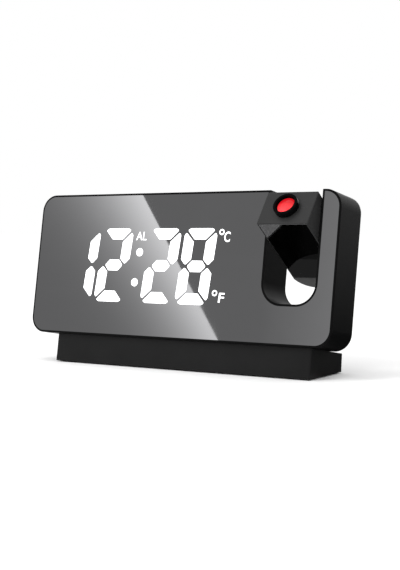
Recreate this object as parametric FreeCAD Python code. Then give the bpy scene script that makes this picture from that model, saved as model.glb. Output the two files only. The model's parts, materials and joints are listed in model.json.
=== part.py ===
import FreeCAD, Part
import math
import os
from FreeCAD import Placement, Rotation, Vector

# Projection alarm clock, millimetres. The display body is a thin slab that leans back
# on a low wedge base. A U-shaped slot through the slab holds the projector arm.
# Slab pieces are drawn upright first: X right, Y from the front face to the back,
# Z up from the lower edge. Then the slab is leaned and set on the base.

# Display body
BODY_WIDTH = 188.0
BODY_HEIGHT = 77.5
BODY_DEPTH = 23.0
CORNER_RADIUS = 9.0
LEAN = 9.7
FRONT_EDGE_HEIGHT = 15.4
OVERHANG = 3.0
WALL = 2.0
RIM = 1.0
PANEL_THICKNESS = 2.0
FRONT_WALL = 1.5
COVER_THICKNESS = 2.0
FRONT_ROUND = 0.4
BACK_ROUND = 0.9

# Slot for the projector arm
POST_WIDTH = 10.5
SLOT_WIDTH = 29.2
SLOT_X = BODY_WIDTH / 2 - POST_WIDTH - SLOT_WIDTH / 2
SLOT_BOTTOM = 20.6
SLOT_CORNER = 10.5
PIVOT_HEIGHT = 57.0
PIVOT_DEPTH = 11.5

# Projector arm, drawn closed: lens end up, pivot at the origin
ARM_SIDE_GAP = 0.6
ARM_THICKNESS = 19.5
ARM_LENS_END = 21.75
ARM_END_GAP = 0.5
ARM_WALL = 1.6
ARM_FRONT_WALL = 2.4
ARM_EDGE = 0.3
FACE_PLATE = 1.0
FACE_PLATE_INSET = 0.9
FACE_PLATE_LENGTH = 44.4
TIP_BEVEL = 1.4
REST_TURN = 62.5
BUSH_RADIUS = 3.5
BUSH_BORE = 2.0
BUSH_FLANGE = 1.2
BUSH_GRIP = 3.0
WASHER_WIDTH = 1.6
CLIP_WIDTH = 1.3
WASHER_THICKNESS = 0.6

# Projection optics
RING_RADIUS = 6.4
RING_HEIGHT = 3.0
RING_BORE = 5.0
SLEEVE_WALL = 0.7
CELL_FIT = 0.05
LENS_RADIUS = 4.6
LENS_DOME = 0.9
LENS_EDGE = 2.0
LENS_SINK = 1.6
CELL_LENGTH = 8.0
CELL_LIP = 0.8
RING_ROUND = 0.35
SLEEVE_LOW = 12.5
BARREL_WALL = 1.4
BARREL_LOW = 5.0
BARREL_STEP = 11.0
SLIDE_SEAT = 9.0
SLIDE_SEAT_RADIUS = 5.0
SLIDE_HALF = 3.4
SLIDE_THICKNESS = 1.1
CONDENSER_LOW = 6.8
CONDENSER_RADIUS = 4.15
CONDENSER_CLEAR = 0.05
LAMP_BOARD_HALF = 6.0
LAMP_BASE_RADIUS = 2.2
LAMP_BASE_HEIGHT = 0.8
LAMP_RADIUS = 1.6
LAMP_HEIGHT = 1.5

# Base
BASE_WIDTH = 159.0
BASE_X = 3.1
BASE_DEPTH = 35.0
BASE_FRONT_TILT = 9.2
BASE_REAR_TILT = 5.7
BASE_WALL = 2.0
BASE_EDGE = 1.0
BASE_PLATE = 2.4
PAD_RADIUS = 4.5
PAD_THICKNESS = 1.2
PAD_PROUD = 0.6
PAD_MARGIN = 1.5
PAD_FROM_END = 12.0
PLATE_SCREW_SPREAD = 56.0
BODY_SCREW_X = (-42.0, 32.0)
WEIGHT_HALF_LENGTH = 48.0
WEIGHT_THICKNESS = 3.0
WEIGHT_MARGIN = 3.0

# Display
DIGIT_WIDTH = 20.0
DIGIT_HEIGHT = 39.8
DIGIT_MIDDLE = 38.4
DIGIT_SLANT = 0.082
SEGMENT_WIDTH = 6.0
SEGMENT_GAP = 0.9
DIGIT_CENTRES = (-61.8, -39.7, -8.6, 13.7)
COLON_X = -24.0
COLON_RISE = 8.1
COLON_RADIUS = 2.2
MARKS = ((-22.7, 54.2), (29.7, 54.4), (28.8, 23.3))
MARK_WIDTH = 8.0
MARK_HEIGHT = 6.6
LIGHT_BOX_DEPTH = 6.0
LIGHT_BOX_MARGIN = 5.0
DIFFUSER = 1.5
BOARD = 1.2
WINDOW_MARGIN = 2.0
LAMP_HALF = 0.8
LAMP_RISE = 0.8
SEGMENT_SHOULDER = 1.0

# Clearances
COVER_CLEAR = 0.15
BUTTON_CLEAR = 0.25
RUNNING_CLEAR = 0.05
SCREW_CLEAR = 0.02
SEAT_CLEAR = 0.1
JOIN = 0.2

# Screws and the bosses that hold them
SHANK = 1.1
HEAD = 2.3
HEAD_DEPTH = 1.4
DRIVE_DEPTH = 0.6
DRIVE_HALF = 0.25
COVER_BOSS = 2.8
COVER_SCREW_LENGTH = 8.0
BOARD_BOSS = 2.6
BOARD_SCREW_LENGTH = 5.5
BOARD_MARGIN = 3.5
BASE_SHANK = 1.4
BASE_HEAD = 2.8
BASE_BOSS = 3.2
BASE_BOSS_HEIGHT = 7.0
ARM_SHANK = 0.9
ARM_HEAD = 1.7
ARM_HEAD_SINK = 1.8
ARM_HEAD_DEPTH = 1.3
ARM_BOSS = 2.2

# Controls
BUTTON_RADIUS = 3.6
BUTTON_TRAVEL = 0.5
BUTTON_PROUD = 0.8
BUTTON_X = -20.0
BUTTON_ROW = 57.0
BUTTON_SPACING = 13.0
BUTTON_NAMES = ("mode_button", "alarm_button", "up_button", "down_button", "dimmer_button")
SNOOZE_LENGTH = 80.0
SNOOZE_WIDTH = 9.0
SNOOZE_X = -20.0
SNOOZE_PROUD = 0.5
SNOOZE_TRAVEL = 0.6
CAP_RADIUS = 12.8
CELL_RADIUS = 10.0
CELL_THICKNESS = 3.2
CAP_LUG = 1.5
CAP_LUG_WIDTH = 4.4
CAP_LUG_CLEAR = 0.3
CAP_INSIDE = 1.1
COIN_SLOT = (7.0, 0.9, 1.2)
BUTTON_FLANGE = 1.1
BUTTON_FLANGE_THICKNESS = 1.5
SNOOZE_FLANGE = 1.2
SNOOZE_FLANGE_THICKNESS = 1.5
SWITCH_HALF = 3.0
SWITCH_HEIGHT = 3.5
SWITCH_STEM = 1.7

# Sockets and the other parts on the main board, with their places on the back
USB = (12.0, 26.0)
USB_INNER = (12.5, 5.12)
USB_SHEET = 0.4
USB_OUTER = (USB_INNER[0] + 2 * USB_SHEET, USB_INNER[1] + 2 * USB_SHEET)
USB_TONGUE = (11.1, 1.84)
USB_TONGUE_RISE = 0.2
POWER = (-10.0, 26.0)
POWER_OUTER = (9.0, 3.3)
POWER_SHEET = 0.3
POWER_TONGUE = (6.8, 0.7)
SOCKET_SINK = 0.2
SOCKET_FLOOR = 1.0
BUZZER = (-37.5, 34.0)
BUZZER_RADIUS = 7.5
BUZZER_HOLE = 1.2
GRILLE_HOLE = 0.8
GRILLE_PITCH = 2.6
CAP = (-62.0, 36.0)
HOLDER_WALL = 1.4
CONTACT = (8.0, 4.0, 0.4)
BOARD_TO_COVER = 8.5
SENSOR = (2.0, 3.0, 1.2)

parts = {}


def box(x0, x1, y0, y1, z0, z1):
    return Part.makeBox(x1 - x0, y1 - y0, z1 - z0, Vector(x0, y0, z0))


def rod(radius, start, direction, length):
    return Part.makeCylinder(radius, length, Vector(*start), Vector(*direction))


def tube(outer, inner, start, direction, length):
    return rod(outer, start, direction, length).cut(rod(inner, start, direction, length))


def fused(shapes):
    whole = shapes[0]
    for shape in shapes[1:]:
        whole = whole.fuse(shape)
    return whole.removeSplitter()


def without(shape, tools):
    for tool in tools:
        shape = shape.cut(tool)
    return shape


def rounded_prism(x0, x1, z0, z1, radius, y0, y1):
    block = box(x0, x1, y0, y1, z0, z1)
    corners = [e for e in block.Edges if abs(e.Vertexes[0].Y - e.Vertexes[1].Y) > 0.5 * (y1 - y0)]
    return block.makeFillet(radius, corners)


def polygon_prism(points, y0, y1):
    corners = [Vector(x, y0, z) for x, z in points]
    return Part.Face(Part.makePolygon(corners + corners[:1])).extrude(Vector(0, y1 - y0, 0))


def profile_prism(points, x0, x1):
    corners = [Vector(x0, y, z) for y, z in points]
    return Part.Face(Part.makePolygon(corners + corners[:1])).extrude(Vector(x1 - x0, 0, 0))


def group(shapes):
    return Part.makeCompound(shapes)


# Outlines of the slab and its slot

def slot_prism(inset, y0, y1):
    half = SLOT_WIDTH / 2 + inset
    return rounded_prism(SLOT_X - half, SLOT_X + half, SLOT_BOTTOM - inset,
                         BODY_HEIGHT + 2 * SLOT_WIDTH, SLOT_CORNER + inset, y0, y1)


def outer_prism(inset, y0, y1):
    half = BODY_WIDTH / 2 - inset
    return rounded_prism(-half, half, inset, BODY_HEIGHT - inset, CORNER_RADIUS - inset, y0, y1)


def slab_prism(inset, y0, y1):
    return outer_prism(inset, y0, y1).cut(slot_prism(inset, y0 - 1, y1 + 1))


INSIDE_FRONT = PANEL_THICKNESS + FRONT_WALL
COVER_INSIDE = BODY_DEPTH - COVER_THICKNESS

# Display outline shapes, shared by the light box, the diffusers and the lamps

def slanted(x, z):
    return (x + DIGIT_SLANT * (z - DIGIT_MIDDLE), z)


def digit_segments(centre):
    half = DIGIT_WIDTH / 2
    low = DIGIT_MIDDLE - DIGIT_HEIGHT / 2
    high = DIGIT_MIDDLE + DIGIT_HEIGHT / 2
    w = SEGMENT_WIDTH
    g = SEGMENT_GAP / 2
    left = centre - half
    right = centre + half
    mid = DIGIT_MIDDLE
    tip = w / 2
    top = [(left + g, high), (right - g, high), (right - w, high - w), (left + w, high - w)]
    bottom = [(left + g, low), (right - g, low), (right - w, low + w), (left + w, low + w)]
    middle = [(left + tip + g, mid), (left + w, mid + tip), (right - w, mid + tip),
              (right - tip - g, mid), (right - w, mid - tip), (left + w, mid - tip)]
    shapes = {"top": top, "bottom": bottom, "middle": middle}
    slope = g + SEGMENT_SHOULDER
    for side, edge, inner in (("left", left, left + w), ("right", right, right - w)):
        centre_line = (edge + inner) / 2
        shapes["upper_" + side] = [(edge, high - slope), (inner, high - w - slope),
                                   (inner, mid + tip + g), (centre_line, mid + g),
                                   (edge, mid + tip + g)]
        shapes["lower_" + side] = [(edge, low + slope), (inner, low + w + slope),
                                   (inner, mid - tip - g), (centre_line, mid - g),
                                   (edge, mid - tip - g)]
    return {name: [slanted(x, z) for x, z in points] for name, points in shapes.items()}


def display_shapes(y0, y1):
    shapes = []
    for centre in DIGIT_CENTRES:
        for points in digit_segments(centre).values():
            shapes.append(polygon_prism(points, y0, y1))
    for rise in (-COLON_RISE, COLON_RISE):
        x, z = slanted(COLON_X, DIGIT_MIDDLE + rise)
        shapes.append(rod(COLON_RADIUS, (x, y0, z), (0, 1, 0), y1 - y0))
    for x, z in MARKS:
        shapes.append(box(x - MARK_WIDTH / 2, x + MARK_WIDTH / 2, y0, y1,
                          z - MARK_HEIGHT / 2, z + MARK_HEIGHT / 2))
    return shapes


DISPLAY_LEFT = DIGIT_CENTRES[0] - DIGIT_WIDTH / 2 - LIGHT_BOX_MARGIN
DISPLAY_RIGHT = max(x for x, z in MARKS) + MARK_WIDTH / 2 + LIGHT_BOX_MARGIN
DISPLAY_LOW = DIGIT_MIDDLE - DIGIT_HEIGHT / 2 - LIGHT_BOX_MARGIN
DISPLAY_HIGH = DIGIT_MIDDLE + DIGIT_HEIGHT / 2 + LIGHT_BOX_MARGIN
BOARD_FRONT = INSIDE_FRONT + LIGHT_BOX_DEPTH
SLOT_WALL_LEFT = SLOT_X - SLOT_WIDTH / 2 - WALL
LED_SCREW_X = (DISPLAY_LEFT - 5.0, (DISPLAY_RIGHT + SLOT_WALL_LEFT) / 2)
LED_SCREW_Z = (DISPLAY_LOW + 6.0, DISPLAY_HIGH - 6.0)
LED_SCREWS = [(x, z) for x in LED_SCREW_X for z in LED_SCREW_Z]

MAIN_BOARD_FRONT = COVER_INSIDE - BOARD_TO_COVER
MAIN_BOARD_BACK = MAIN_BOARD_FRONT + BOARD
MAIN_LEFT = DISPLAY_LEFT
MAIN_RIGHT = DISPLAY_RIGHT + 2.0
MAIN_LOW = DISPLAY_LOW
MAIN_HIGH = BUTTON_ROW + 6.0
MAIN_SCREWS = [(x, z) for x in (MAIN_LEFT + BOARD_MARGIN, MAIN_RIGHT - BOARD_MARGIN)
               for z in (MAIN_LOW + BOARD_MARGIN, MAIN_HIGH - BOARD_MARGIN)]

# Rear cover screws: four near the corners, one low between, one in the post beside the slot
POST_X = (SLOT_X + SLOT_WIDTH / 2 + BODY_WIDTH / 2) / 2
SIDE_SCREW = BODY_WIDTH / 2 - WALL - 5.5
CORNER_SCREW_LOW = WALL + 6.5
CORNER_SCREW_HIGH = BODY_HEIGHT - WALL - 6.5
COVER_SCREWS = [(-SIDE_SCREW, CORNER_SCREW_LOW), (-SIDE_SCREW, CORNER_SCREW_HIGH),
                (SLOT_WALL_LEFT - 4.5, BODY_HEIGHT - WALL - 4.5), (0.0, WALL + 4.0),
                (SIDE_SCREW, CORNER_SCREW_LOW), (POST_X, SLOT_BOTTOM + 14.0)]
BASE_SCREW_X = [BASE_X + x for x in BODY_SCREW_X]


def cross_screw(x, z, back, length):
    body = fused([rod(SHANK, (x, back - HEAD_DEPTH - length, z), (0, 1, 0), length + 0.1),
                  rod(HEAD, (x, back - HEAD_DEPTH, z), (0, 1, 0), HEAD_DEPTH)])
    reach = 0.7 * HEAD
    low = back - DRIVE_DEPTH
    slots = [box(x - reach, x + reach, low, back + 1, z - DRIVE_HALF, z + DRIVE_HALF),
             box(x - DRIVE_HALF, x + DRIVE_HALF, low, back + 1, z - reach, z + reach)]
    return without(body, slots)


# Main housing: rim, side walls, slot walls and the front wall behind the mirror

def snooze_prism(grow, z0, z1):
    return box(SNOOZE_X - SNOOZE_LENGTH / 2 - grow, SNOOZE_X + SNOOZE_LENGTH / 2 + grow,
               PIVOT_DEPTH - SNOOZE_WIDTH / 2 - grow, PIVOT_DEPTH + SNOOZE_WIDTH / 2 + grow, z0, z1)


SNOOZE_BOARD_Z = DISPLAY_HIGH + 2.2
RIB_HALF = SNOOZE_LENGTH / 2 - 6.0
RIB_THICKNESS = 2.0


def main_housing():
    shell = outer_prism(0, 0, BODY_DEPTH)
    front = [e for e in shell.Edges if e.BoundBox.YMax < 0.01]
    shell = shell.makeFillet(FRONT_ROUND, front)
    back = [e for e in shell.Edges if e.BoundBox.YMin > BODY_DEPTH - 0.01]
    shell = shell.makeFillet(BACK_ROUND, back)
    shell = shell.cut(slot_prism(0, -1, BODY_DEPTH + 1))
    shell = shell.cut(slab_prism(WALL, INSIDE_FRONT, BODY_DEPTH + 1))
    shell = shell.cut(slab_prism(RIM, -1, PANEL_THICKNESS))
    foot = INSIDE_FRONT - JOIN
    half = RIB_THICKNESS / 2
    extras = [rod(COVER_BOSS, (x, foot, z), (0, 1, 0), COVER_INSIDE - foot) for x, z in COVER_SCREWS]
    extras += [rod(BOARD_BOSS, (x, foot, z), (0, 1, 0), BOARD_FRONT - foot) for x, z in LED_SCREWS]
    extras += [box(x - half, x + half, foot, COVER_INSIDE - 2, SNOOZE_BOARD_Z - 1, BODY_HEIGHT - WALL + JOIN)
               for x in (SNOOZE_X - RIB_HALF, SNOOZE_X + RIB_HALF)]
    extras += [rod(BASE_BOSS, (x, PIVOT_DEPTH, WALL - JOIN), (0, 0, 1), BASE_BOSS_HEIGHT + JOIN)
               for x in BASE_SCREW_X]
    shell = fused([shell] + extras)
    edge = WINDOW_MARGIN
    bore = SHANK + SCREW_CLEAR
    base_bore = BASE_SHANK + SCREW_CLEAR
    cuts = [box(DISPLAY_LEFT + edge, DISPLAY_RIGHT - edge, 1, INSIDE_FRONT + 1,
                DISPLAY_LOW + edge, DISPLAY_HIGH - edge)]
    deep = COVER_INSIDE - COVER_SCREW_LENGTH - 1
    cuts += [rod(bore, (x, deep, z), (0, 1, 0), 12) for x, z in COVER_SCREWS]
    cuts += [rod(bore, (x, INSIDE_FRONT, z), (0, 1, 0), 8) for x, z in LED_SCREWS]
    cuts += [rod(base_bore, (x, PIVOT_DEPTH, -1), (0, 0, 1), BASE_BOSS_HEIGHT + 1.5) for x in BASE_SCREW_X]
    cuts += [snooze_prism(BUTTON_CLEAR, BODY_HEIGHT - WALL - 1, BODY_HEIGHT + 1)]
    reach = SLOT_WIDTH / 2 + WALL + 1
    pivot = (SLOT_X - reach, PIVOT_DEPTH, PIVOT_HEIGHT)
    cuts += [rod(BUSH_RADIUS + RUNNING_CLEAR, pivot, (1, 0, 0), 2 * reach)]
    return without(shell, cuts)


def mirror_panel():
    return slab_prism(RIM + SEAT_CLEAR, 0, PANEL_THICKNESS)


def light_box():
    edge = WINDOW_MARGIN + COVER_CLEAR
    block = fused([box(DISPLAY_LEFT, DISPLAY_RIGHT, INSIDE_FRONT, BOARD_FRONT, DISPLAY_LOW, DISPLAY_HIGH),
                   box(DISPLAY_LEFT + edge, DISPLAY_RIGHT - edge, PANEL_THICKNESS + SEAT_CLEAR,
                       INSIDE_FRONT + 1, DISPLAY_LOW + edge, DISPLAY_HIGH - edge)])
    return without(block, display_shapes(0, BOARD_FRONT + 1))


def segment_diffusers():
    return group(display_shapes(PANEL_THICKNESS + SEAT_CLEAR, PANEL_THICKNESS + SEAT_CLEAR + DIFFUSER))


def led_board():
    board = box(LED_SCREW_X[0] - BOARD_MARGIN, LED_SCREW_X[1] + BOARD_MARGIN,
                BOARD_FRONT, BOARD_FRONT + BOARD, DISPLAY_LOW, DISPLAY_HIGH)
    holes = [rod(SHANK + SEAT_CLEAR, (x, BOARD_FRONT - 1, z), (0, 1, 0), 4) for x, z in LED_SCREWS]
    return without(board, holes)


def display_leds():
    lamps = []
    for shape in display_shapes(BOARD_FRONT - LAMP_RISE, BOARD_FRONT):
        c = shape.CenterOfMass
        lamps.append(box(c.x - LAMP_HALF, c.x + LAMP_HALF, BOARD_FRONT - LAMP_RISE, BOARD_FRONT,
                         c.z - LAMP_HALF, c.z + LAMP_HALF))
    return group(lamps)


# Rear cover with everything that is fixed to it

BUTTONS = [(BUTTON_X + BUTTON_SPACING * (i - 2), BUTTON_ROW) for i in range(len(BUTTON_NAMES))]


def lug_ring(turn, inner, outer, width, y0, y1):
    lugs = []
    for i in range(3):
        lug = box(inner, outer, y0, y1, -width / 2, width / 2)
        lug.rotate(Vector(0, 0, 0), Vector(0, 1, 0), turn + 120 * i)
        lug.translate(Vector(CAP[0], 0, CAP[1]))
        lugs.append(lug)
    return lugs


def opening(centre, size, clear, y0, y1):
    half_x = size[0] / 2 + clear
    half_z = size[1] / 2 + clear
    return (centre[0] - half_x, centre[0] + half_x, y0, y1, centre[1] - half_z, centre[1] + half_z)


def grille_holes():
    holes = [rod(GRILLE_HOLE, (BUZZER[0], COVER_INSIDE - 1, BUZZER[1]), (0, 1, 0), 4)]
    for ring in (1, 2):
        for i in range(6 * ring):
            angle = 2 * math.pi * i / (6 * ring)
            x = BUZZER[0] + GRILLE_PITCH * ring * math.cos(angle)
            z = BUZZER[1] + GRILLE_PITCH * ring * math.sin(angle)
            holes.append(rod(GRILLE_HOLE, (x, COVER_INSIDE - 1, z), (0, 1, 0), 4))
    return holes


def rear_cover():
    cover = slab_prism(WALL + COVER_CLEAR, COVER_INSIDE, BODY_DEPTH)
    post = COVER_INSIDE - MAIN_BOARD_BACK + JOIN
    posts = [rod(BOARD_BOSS, (x, MAIN_BOARD_BACK, z), (0, 1, 0), post) for x, z in MAIN_SCREWS]
    cover = fused([cover] + posts)
    low = COVER_INSIDE - 1
    cuts = []
    for x, z in COVER_SCREWS:
        cuts.append(rod(SHANK + SEAT_CLEAR, (x, low, z), (0, 1, 0), 5))
        cuts.append(rod(HEAD + SEAT_CLEAR, (x, BODY_DEPTH - HEAD_DEPTH, z), (0, 1, 0), 3))
    cuts += [rod(SHANK + SCREW_CLEAR, (x, MAIN_BOARD_BACK - 1, z), (0, 1, 0), 6) for x, z in MAIN_SCREWS]
    cuts += [rod(BUTTON_RADIUS + BUTTON_CLEAR, (x, low, z), (0, 1, 0), 4) for x, z in BUTTONS]
    cuts += [rod(CAP_RADIUS + BUTTON_CLEAR, (CAP[0], low, CAP[1]), (0, 1, 0), 4)]
    lug_reach = CAP_RADIUS + CAP_LUG + CAP_LUG_CLEAR
    cuts += lug_ring(60, CAP_RADIUS - 1, lug_reach, CAP_LUG_WIDTH + 2 * CAP_LUG_CLEAR, low, BODY_DEPTH + 1)
    cuts += [box(*opening(USB, USB_OUTER, SEAT_CLEAR, low, BODY_DEPTH + 1))]
    x0, x1, y0, y1, z0, z1 = opening(POWER, POWER_OUTER, BUTTON_CLEAR, low, BODY_DEPTH + 1)
    cuts += [rounded_prism(x0, x1, z0, z1, (z1 - z0) / 2 - 0.1, y0, y1)]
    return without(cover, cuts + grille_holes())


def main_board():
    board = box(MAIN_LEFT, MAIN_RIGHT, MAIN_BOARD_FRONT, MAIN_BOARD_BACK, MAIN_LOW, MAIN_HIGH)
    holes = [rod(SHANK + SEAT_CLEAR, (x, MAIN_BOARD_FRONT - 1, z), (0, 1, 0), 4) for x, z in MAIN_SCREWS]
    return without(board, holes)


def front_screw(x, z, seat, length):
    screw = cross_screw(0, 0, 0, length)
    screw.rotate(Vector(0, 0, 0), Vector(0, 0, 1), 180)
    screw.translate(Vector(x, seat - HEAD_DEPTH, z))
    return screw


def board_components():
    back = MAIN_BOARD_BACK
    shapes = [box(-4, 6, back, back + 1.6, 38, 48), box(24, 34, back, back + 4.5, 44, 50),
              box(-28, -16, back, back + 4.5, MAIN_LOW + 1, MAIN_LOW + 6)]
    shapes += [rod(2.5, (x, back, 34), (0, 1, 0), 5.5) for x in (26, 34)]
    shapes += [box(-16 + 4 * i, -14.4 + 4 * i, back, back + 0.6, 34, 34.8) for i in range(6)]
    return group(shapes)


def temperature_sensor():
    x = MAIN_RIGHT - 9
    z = MAIN_LOW + 2
    return box(x, x + SENSOR[0], MAIN_BOARD_BACK, MAIN_BOARD_BACK + SENSOR[2], z, z + SENSOR[1])


def tact_switches():
    y0 = MAIN_BOARD_BACK
    top = COVER_INSIDE - BUTTON_FLANGE_THICKNESS - BUTTON_TRAVEL - SEAT_CLEAR
    half = SWITCH_HALF
    shapes = []
    for x, z in BUTTONS:
        shapes.append(fused([box(x - half, x + half, y0, y0 + SWITCH_HEIGHT, z - half, z + half),
                             rod(SWITCH_STEM, (x, y0 + 3, z), (0, 1, 0), top - y0 - 3)]))
    return group(shapes)


def button(x, z):
    back = BODY_DEPTH + BUTTON_PROUD
    low = COVER_INSIDE - BUTTON_FLANGE_THICKNESS
    cap = rod(BUTTON_RADIUS, (x, COVER_INSIDE - 1, z), (0, 1, 0), back - COVER_INSIDE + 1)
    cap = cap.makeFillet(0.5, [e for e in cap.Edges if e.BoundBox.YMin > back - 0.01])
    flange = rod(BUTTON_RADIUS + BUTTON_FLANGE, (x, low, z), (0, 1, 0), BUTTON_FLANGE_THICKNESS - JOIN)
    return fused([cap, flange])


def usb_socket():
    y0 = MAIN_BOARD_BACK
    y1 = BODY_DEPTH - SOCKET_SINK
    shell = box(*opening(USB, USB_OUTER, 0, y0, y1))
    shell = shell.cut(box(*opening(USB, USB_INNER, 0, y0 + SOCKET_FLOOR, y1 + 1)))
    x, z = USB
    low = z + USB_TONGUE_RISE
    tongue = box(x - USB_TONGUE[0] / 2, x + USB_TONGUE[0] / 2, y0 + SOCKET_FLOOR - 0.1, y1 - 0.8,
                 low, low + USB_TONGUE[1])
    return fused([shell, tongue])


def round_ended(centre, size, y0, y1):
    x0, x1, y0, y1, z0, z1 = opening(centre, size, 0, y0, y1)
    return rounded_prism(x0, x1, z0, z1, (z1 - z0) / 2 - 0.05, y0, y1)


def power_socket():
    y0 = MAIN_BOARD_BACK
    y1 = BODY_DEPTH - SOCKET_SINK
    inner = (POWER_OUTER[0] - 2 * POWER_SHEET, POWER_OUTER[1] - 2 * POWER_SHEET)
    shell = round_ended(POWER, POWER_OUTER, y0, y1).cut(round_ended(POWER, inner, y0 + SOCKET_FLOOR, y1 + 1))
    return fused([shell, box(*opening(POWER, POWER_TONGUE, 0, y0 + SOCKET_FLOOR - 0.1, y1 - 0.6))])


def buzzer():
    y1 = COVER_INSIDE - 0.3
    can = rod(BUZZER_RADIUS, (BUZZER[0], MAIN_BOARD_BACK, BUZZER[1]), (0, 1, 0), y1 - MAIN_BOARD_BACK)
    return can.cut(rod(BUZZER_HOLE, (BUZZER[0], y1 - 2, BUZZER[1]), (0, 1, 0), 3))


CELL_BACK = COVER_INSIDE - 1.6
CELL_FRONT = CELL_BACK - CELL_THICKNESS


def battery_holder():
    y0 = MAIN_BOARD_BACK
    cup = rod(CELL_RADIUS + HOLDER_WALL, (CAP[0], y0, CAP[1]), (0, 1, 0), CELL_BACK - y0 - 0.8)
    well = rod(CELL_RADIUS + SEAT_CLEAR, (CAP[0], CELL_FRONT - CONTACT[2], CAP[1]), (0, 1, 0), 9)
    return cup.cut(well)


def coin_cell():
    return rod(CELL_RADIUS, (CAP[0], CELL_FRONT, CAP[1]), (0, 1, 0), CELL_THICKNESS)


def battery_contact():
    return box(*opening(CAP, CONTACT, 0, CELL_FRONT - CONTACT[2], CELL_FRONT))


def battery_cap():
    low = COVER_INSIDE - CAP_INSIDE
    disc = rod(CAP_RADIUS, (CAP[0], low, CAP[1]), (0, 1, 0), BODY_DEPTH - low)
    lugs = lug_ring(0, CAP_RADIUS - 1, CAP_RADIUS + CAP_LUG, CAP_LUG_WIDTH, low, COVER_INSIDE - SEAT_CLEAR)
    half_x, half_z, depth = COIN_SLOT
    coin_slot = box(CAP[0] - half_x, CAP[0] + half_x, BODY_DEPTH - depth, BODY_DEPTH + 1,
                    CAP[1] - half_z, CAP[1] + half_z)
    return fused([disc] + lugs).cut(coin_slot)


# Snooze bar in the top wall

SNOOZE_FLANGE_LOW = BODY_HEIGHT - WALL - JOIN - SNOOZE_FLANGE_THICKNESS


def snooze_bar():
    bar = snooze_prism(0, BODY_HEIGHT - WALL - 0.5, BODY_HEIGHT + SNOOZE_PROUD)
    bar = bar.makeFillet(0.4, [e for e in bar.Edges if e.BoundBox.ZMin > BODY_HEIGHT])
    flange = snooze_prism(SNOOZE_FLANGE, SNOOZE_FLANGE_LOW, SNOOZE_FLANGE_LOW + SNOOZE_FLANGE_THICKNESS)
    half = RIB_THICKNESS / 2 + 0.4
    rib_gaps = [box(x - half, x + half, 0, BODY_DEPTH, SNOOZE_BOARD_Z, BODY_HEIGHT - WALL - 0.1)
                for x in (SNOOZE_X - RIB_HALF, SNOOZE_X + RIB_HALF)]
    return without(fused([bar, flange]), rib_gaps)


def snooze_board():
    half = RIB_HALF - RIB_THICKNESS / 2
    return box(SNOOZE_X - half, SNOOZE_X + half, PIVOT_DEPTH - 6, PIVOT_DEPTH + 6,
               SNOOZE_BOARD_Z, SNOOZE_BOARD_Z + BOARD)


def snooze_switches():
    z0 = SNOOZE_BOARD_Z + BOARD
    top = SNOOZE_FLANGE_LOW - SNOOZE_TRAVEL - SEAT_CLEAR
    half = SWITCH_HALF
    shapes = []
    for x in (SNOOZE_X - 22, SNOOZE_X + 22):
        shapes.append(fused([box(x - half, x + half, PIVOT_DEPTH - half, PIVOT_DEPTH + half, z0, top - 0.8),
                             rod(SWITCH_STEM, (x, PIVOT_DEPTH, z0 + 0.5), (0, 0, 1), top - z0 - 0.5)]))
    return group(shapes)


# Projector arm

ARM_HALF = SLOT_WIDTH / 2 - ARM_SIDE_GAP
ARM_END = PIVOT_HEIGHT - SLOT_BOTTOM - ARM_END_GAP
ARM_CORNER = SLOT_CORNER - ARM_SIDE_GAP


def arm_end(inset):
    half = ARM_HALF - inset
    corner = ARM_CORNER - inset
    reach = ARM_END - inset
    bend = corner * (1 - math.sqrt(0.5))
    p = [Vector(-half, 0, 0), Vector(-half, 0, corner - reach), Vector(-half + bend, 0, bend - reach),
         Vector(corner - half, 0, -reach), Vector(half - corner, 0, -reach),
         Vector(half - bend, 0, bend - reach), Vector(half, 0, corner - reach), Vector(half, 0, 0)]
    edges = [Part.LineSegment(p[0], p[1]), Part.Arc(p[1], p[2], p[3]), Part.LineSegment(p[3], p[4]),
             Part.Arc(p[4], p[5], p[6]), Part.LineSegment(p[6], p[7]), Part.LineSegment(p[7], p[0])]
    profile = Part.Face(Part.Wire([e.toShape() for e in edges]))
    return profile.revolve(Vector(0, 0, 0), Vector(1, 0, 0), 360)


def arm_solid(inset, y0, y1, top, edge=0.0):
    half = ARM_HALF - inset
    block = box(-half, half, y0, y1, -2 * ARM_END, top)
    if edge:
        block = block.makeChamfer(edge, block.Edges)
    far = 4 * ARM_END
    upper = block.common(box(-far, far, -far, far, 0, far))
    lower = block.common(arm_end(inset)).common(box(-far, far, -far, far, -far, 0))
    return fused([upper, lower])


ARM_Y = ARM_THICKNESS / 2
FACE_PLATE_TOP = ARM_LENS_END - FACE_PLATE_INSET
BARREL = RING_BORE + SLEEVE_WALL + RUNNING_CLEAR
INNER_TOP = ARM_LENS_END - ARM_WALL
ARM_SCREW_X = ARM_HALF - ARM_WALL - ARM_BOSS - 0.1
ARM_BOSSES = [(-ARM_SCREW_X, 15.0), (ARM_SCREW_X, 15.0), (0.0, -22.0)]


def tip_bevel():
    top = FACE_PLATE_TOP - FACE_PLATE_LENGTH - FACE_PLATE_INSET
    fall = ARM_END + top
    low = top - 2 * fall
    points = [(-ARM_Y, top), (-ARM_Y + 2 * TIP_BEVEL, low), (-2 * ARM_Y, low), (-2 * ARM_Y, top)]
    return profile_prism(points, -2 * ARM_HALF, 2 * ARM_HALF)


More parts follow.
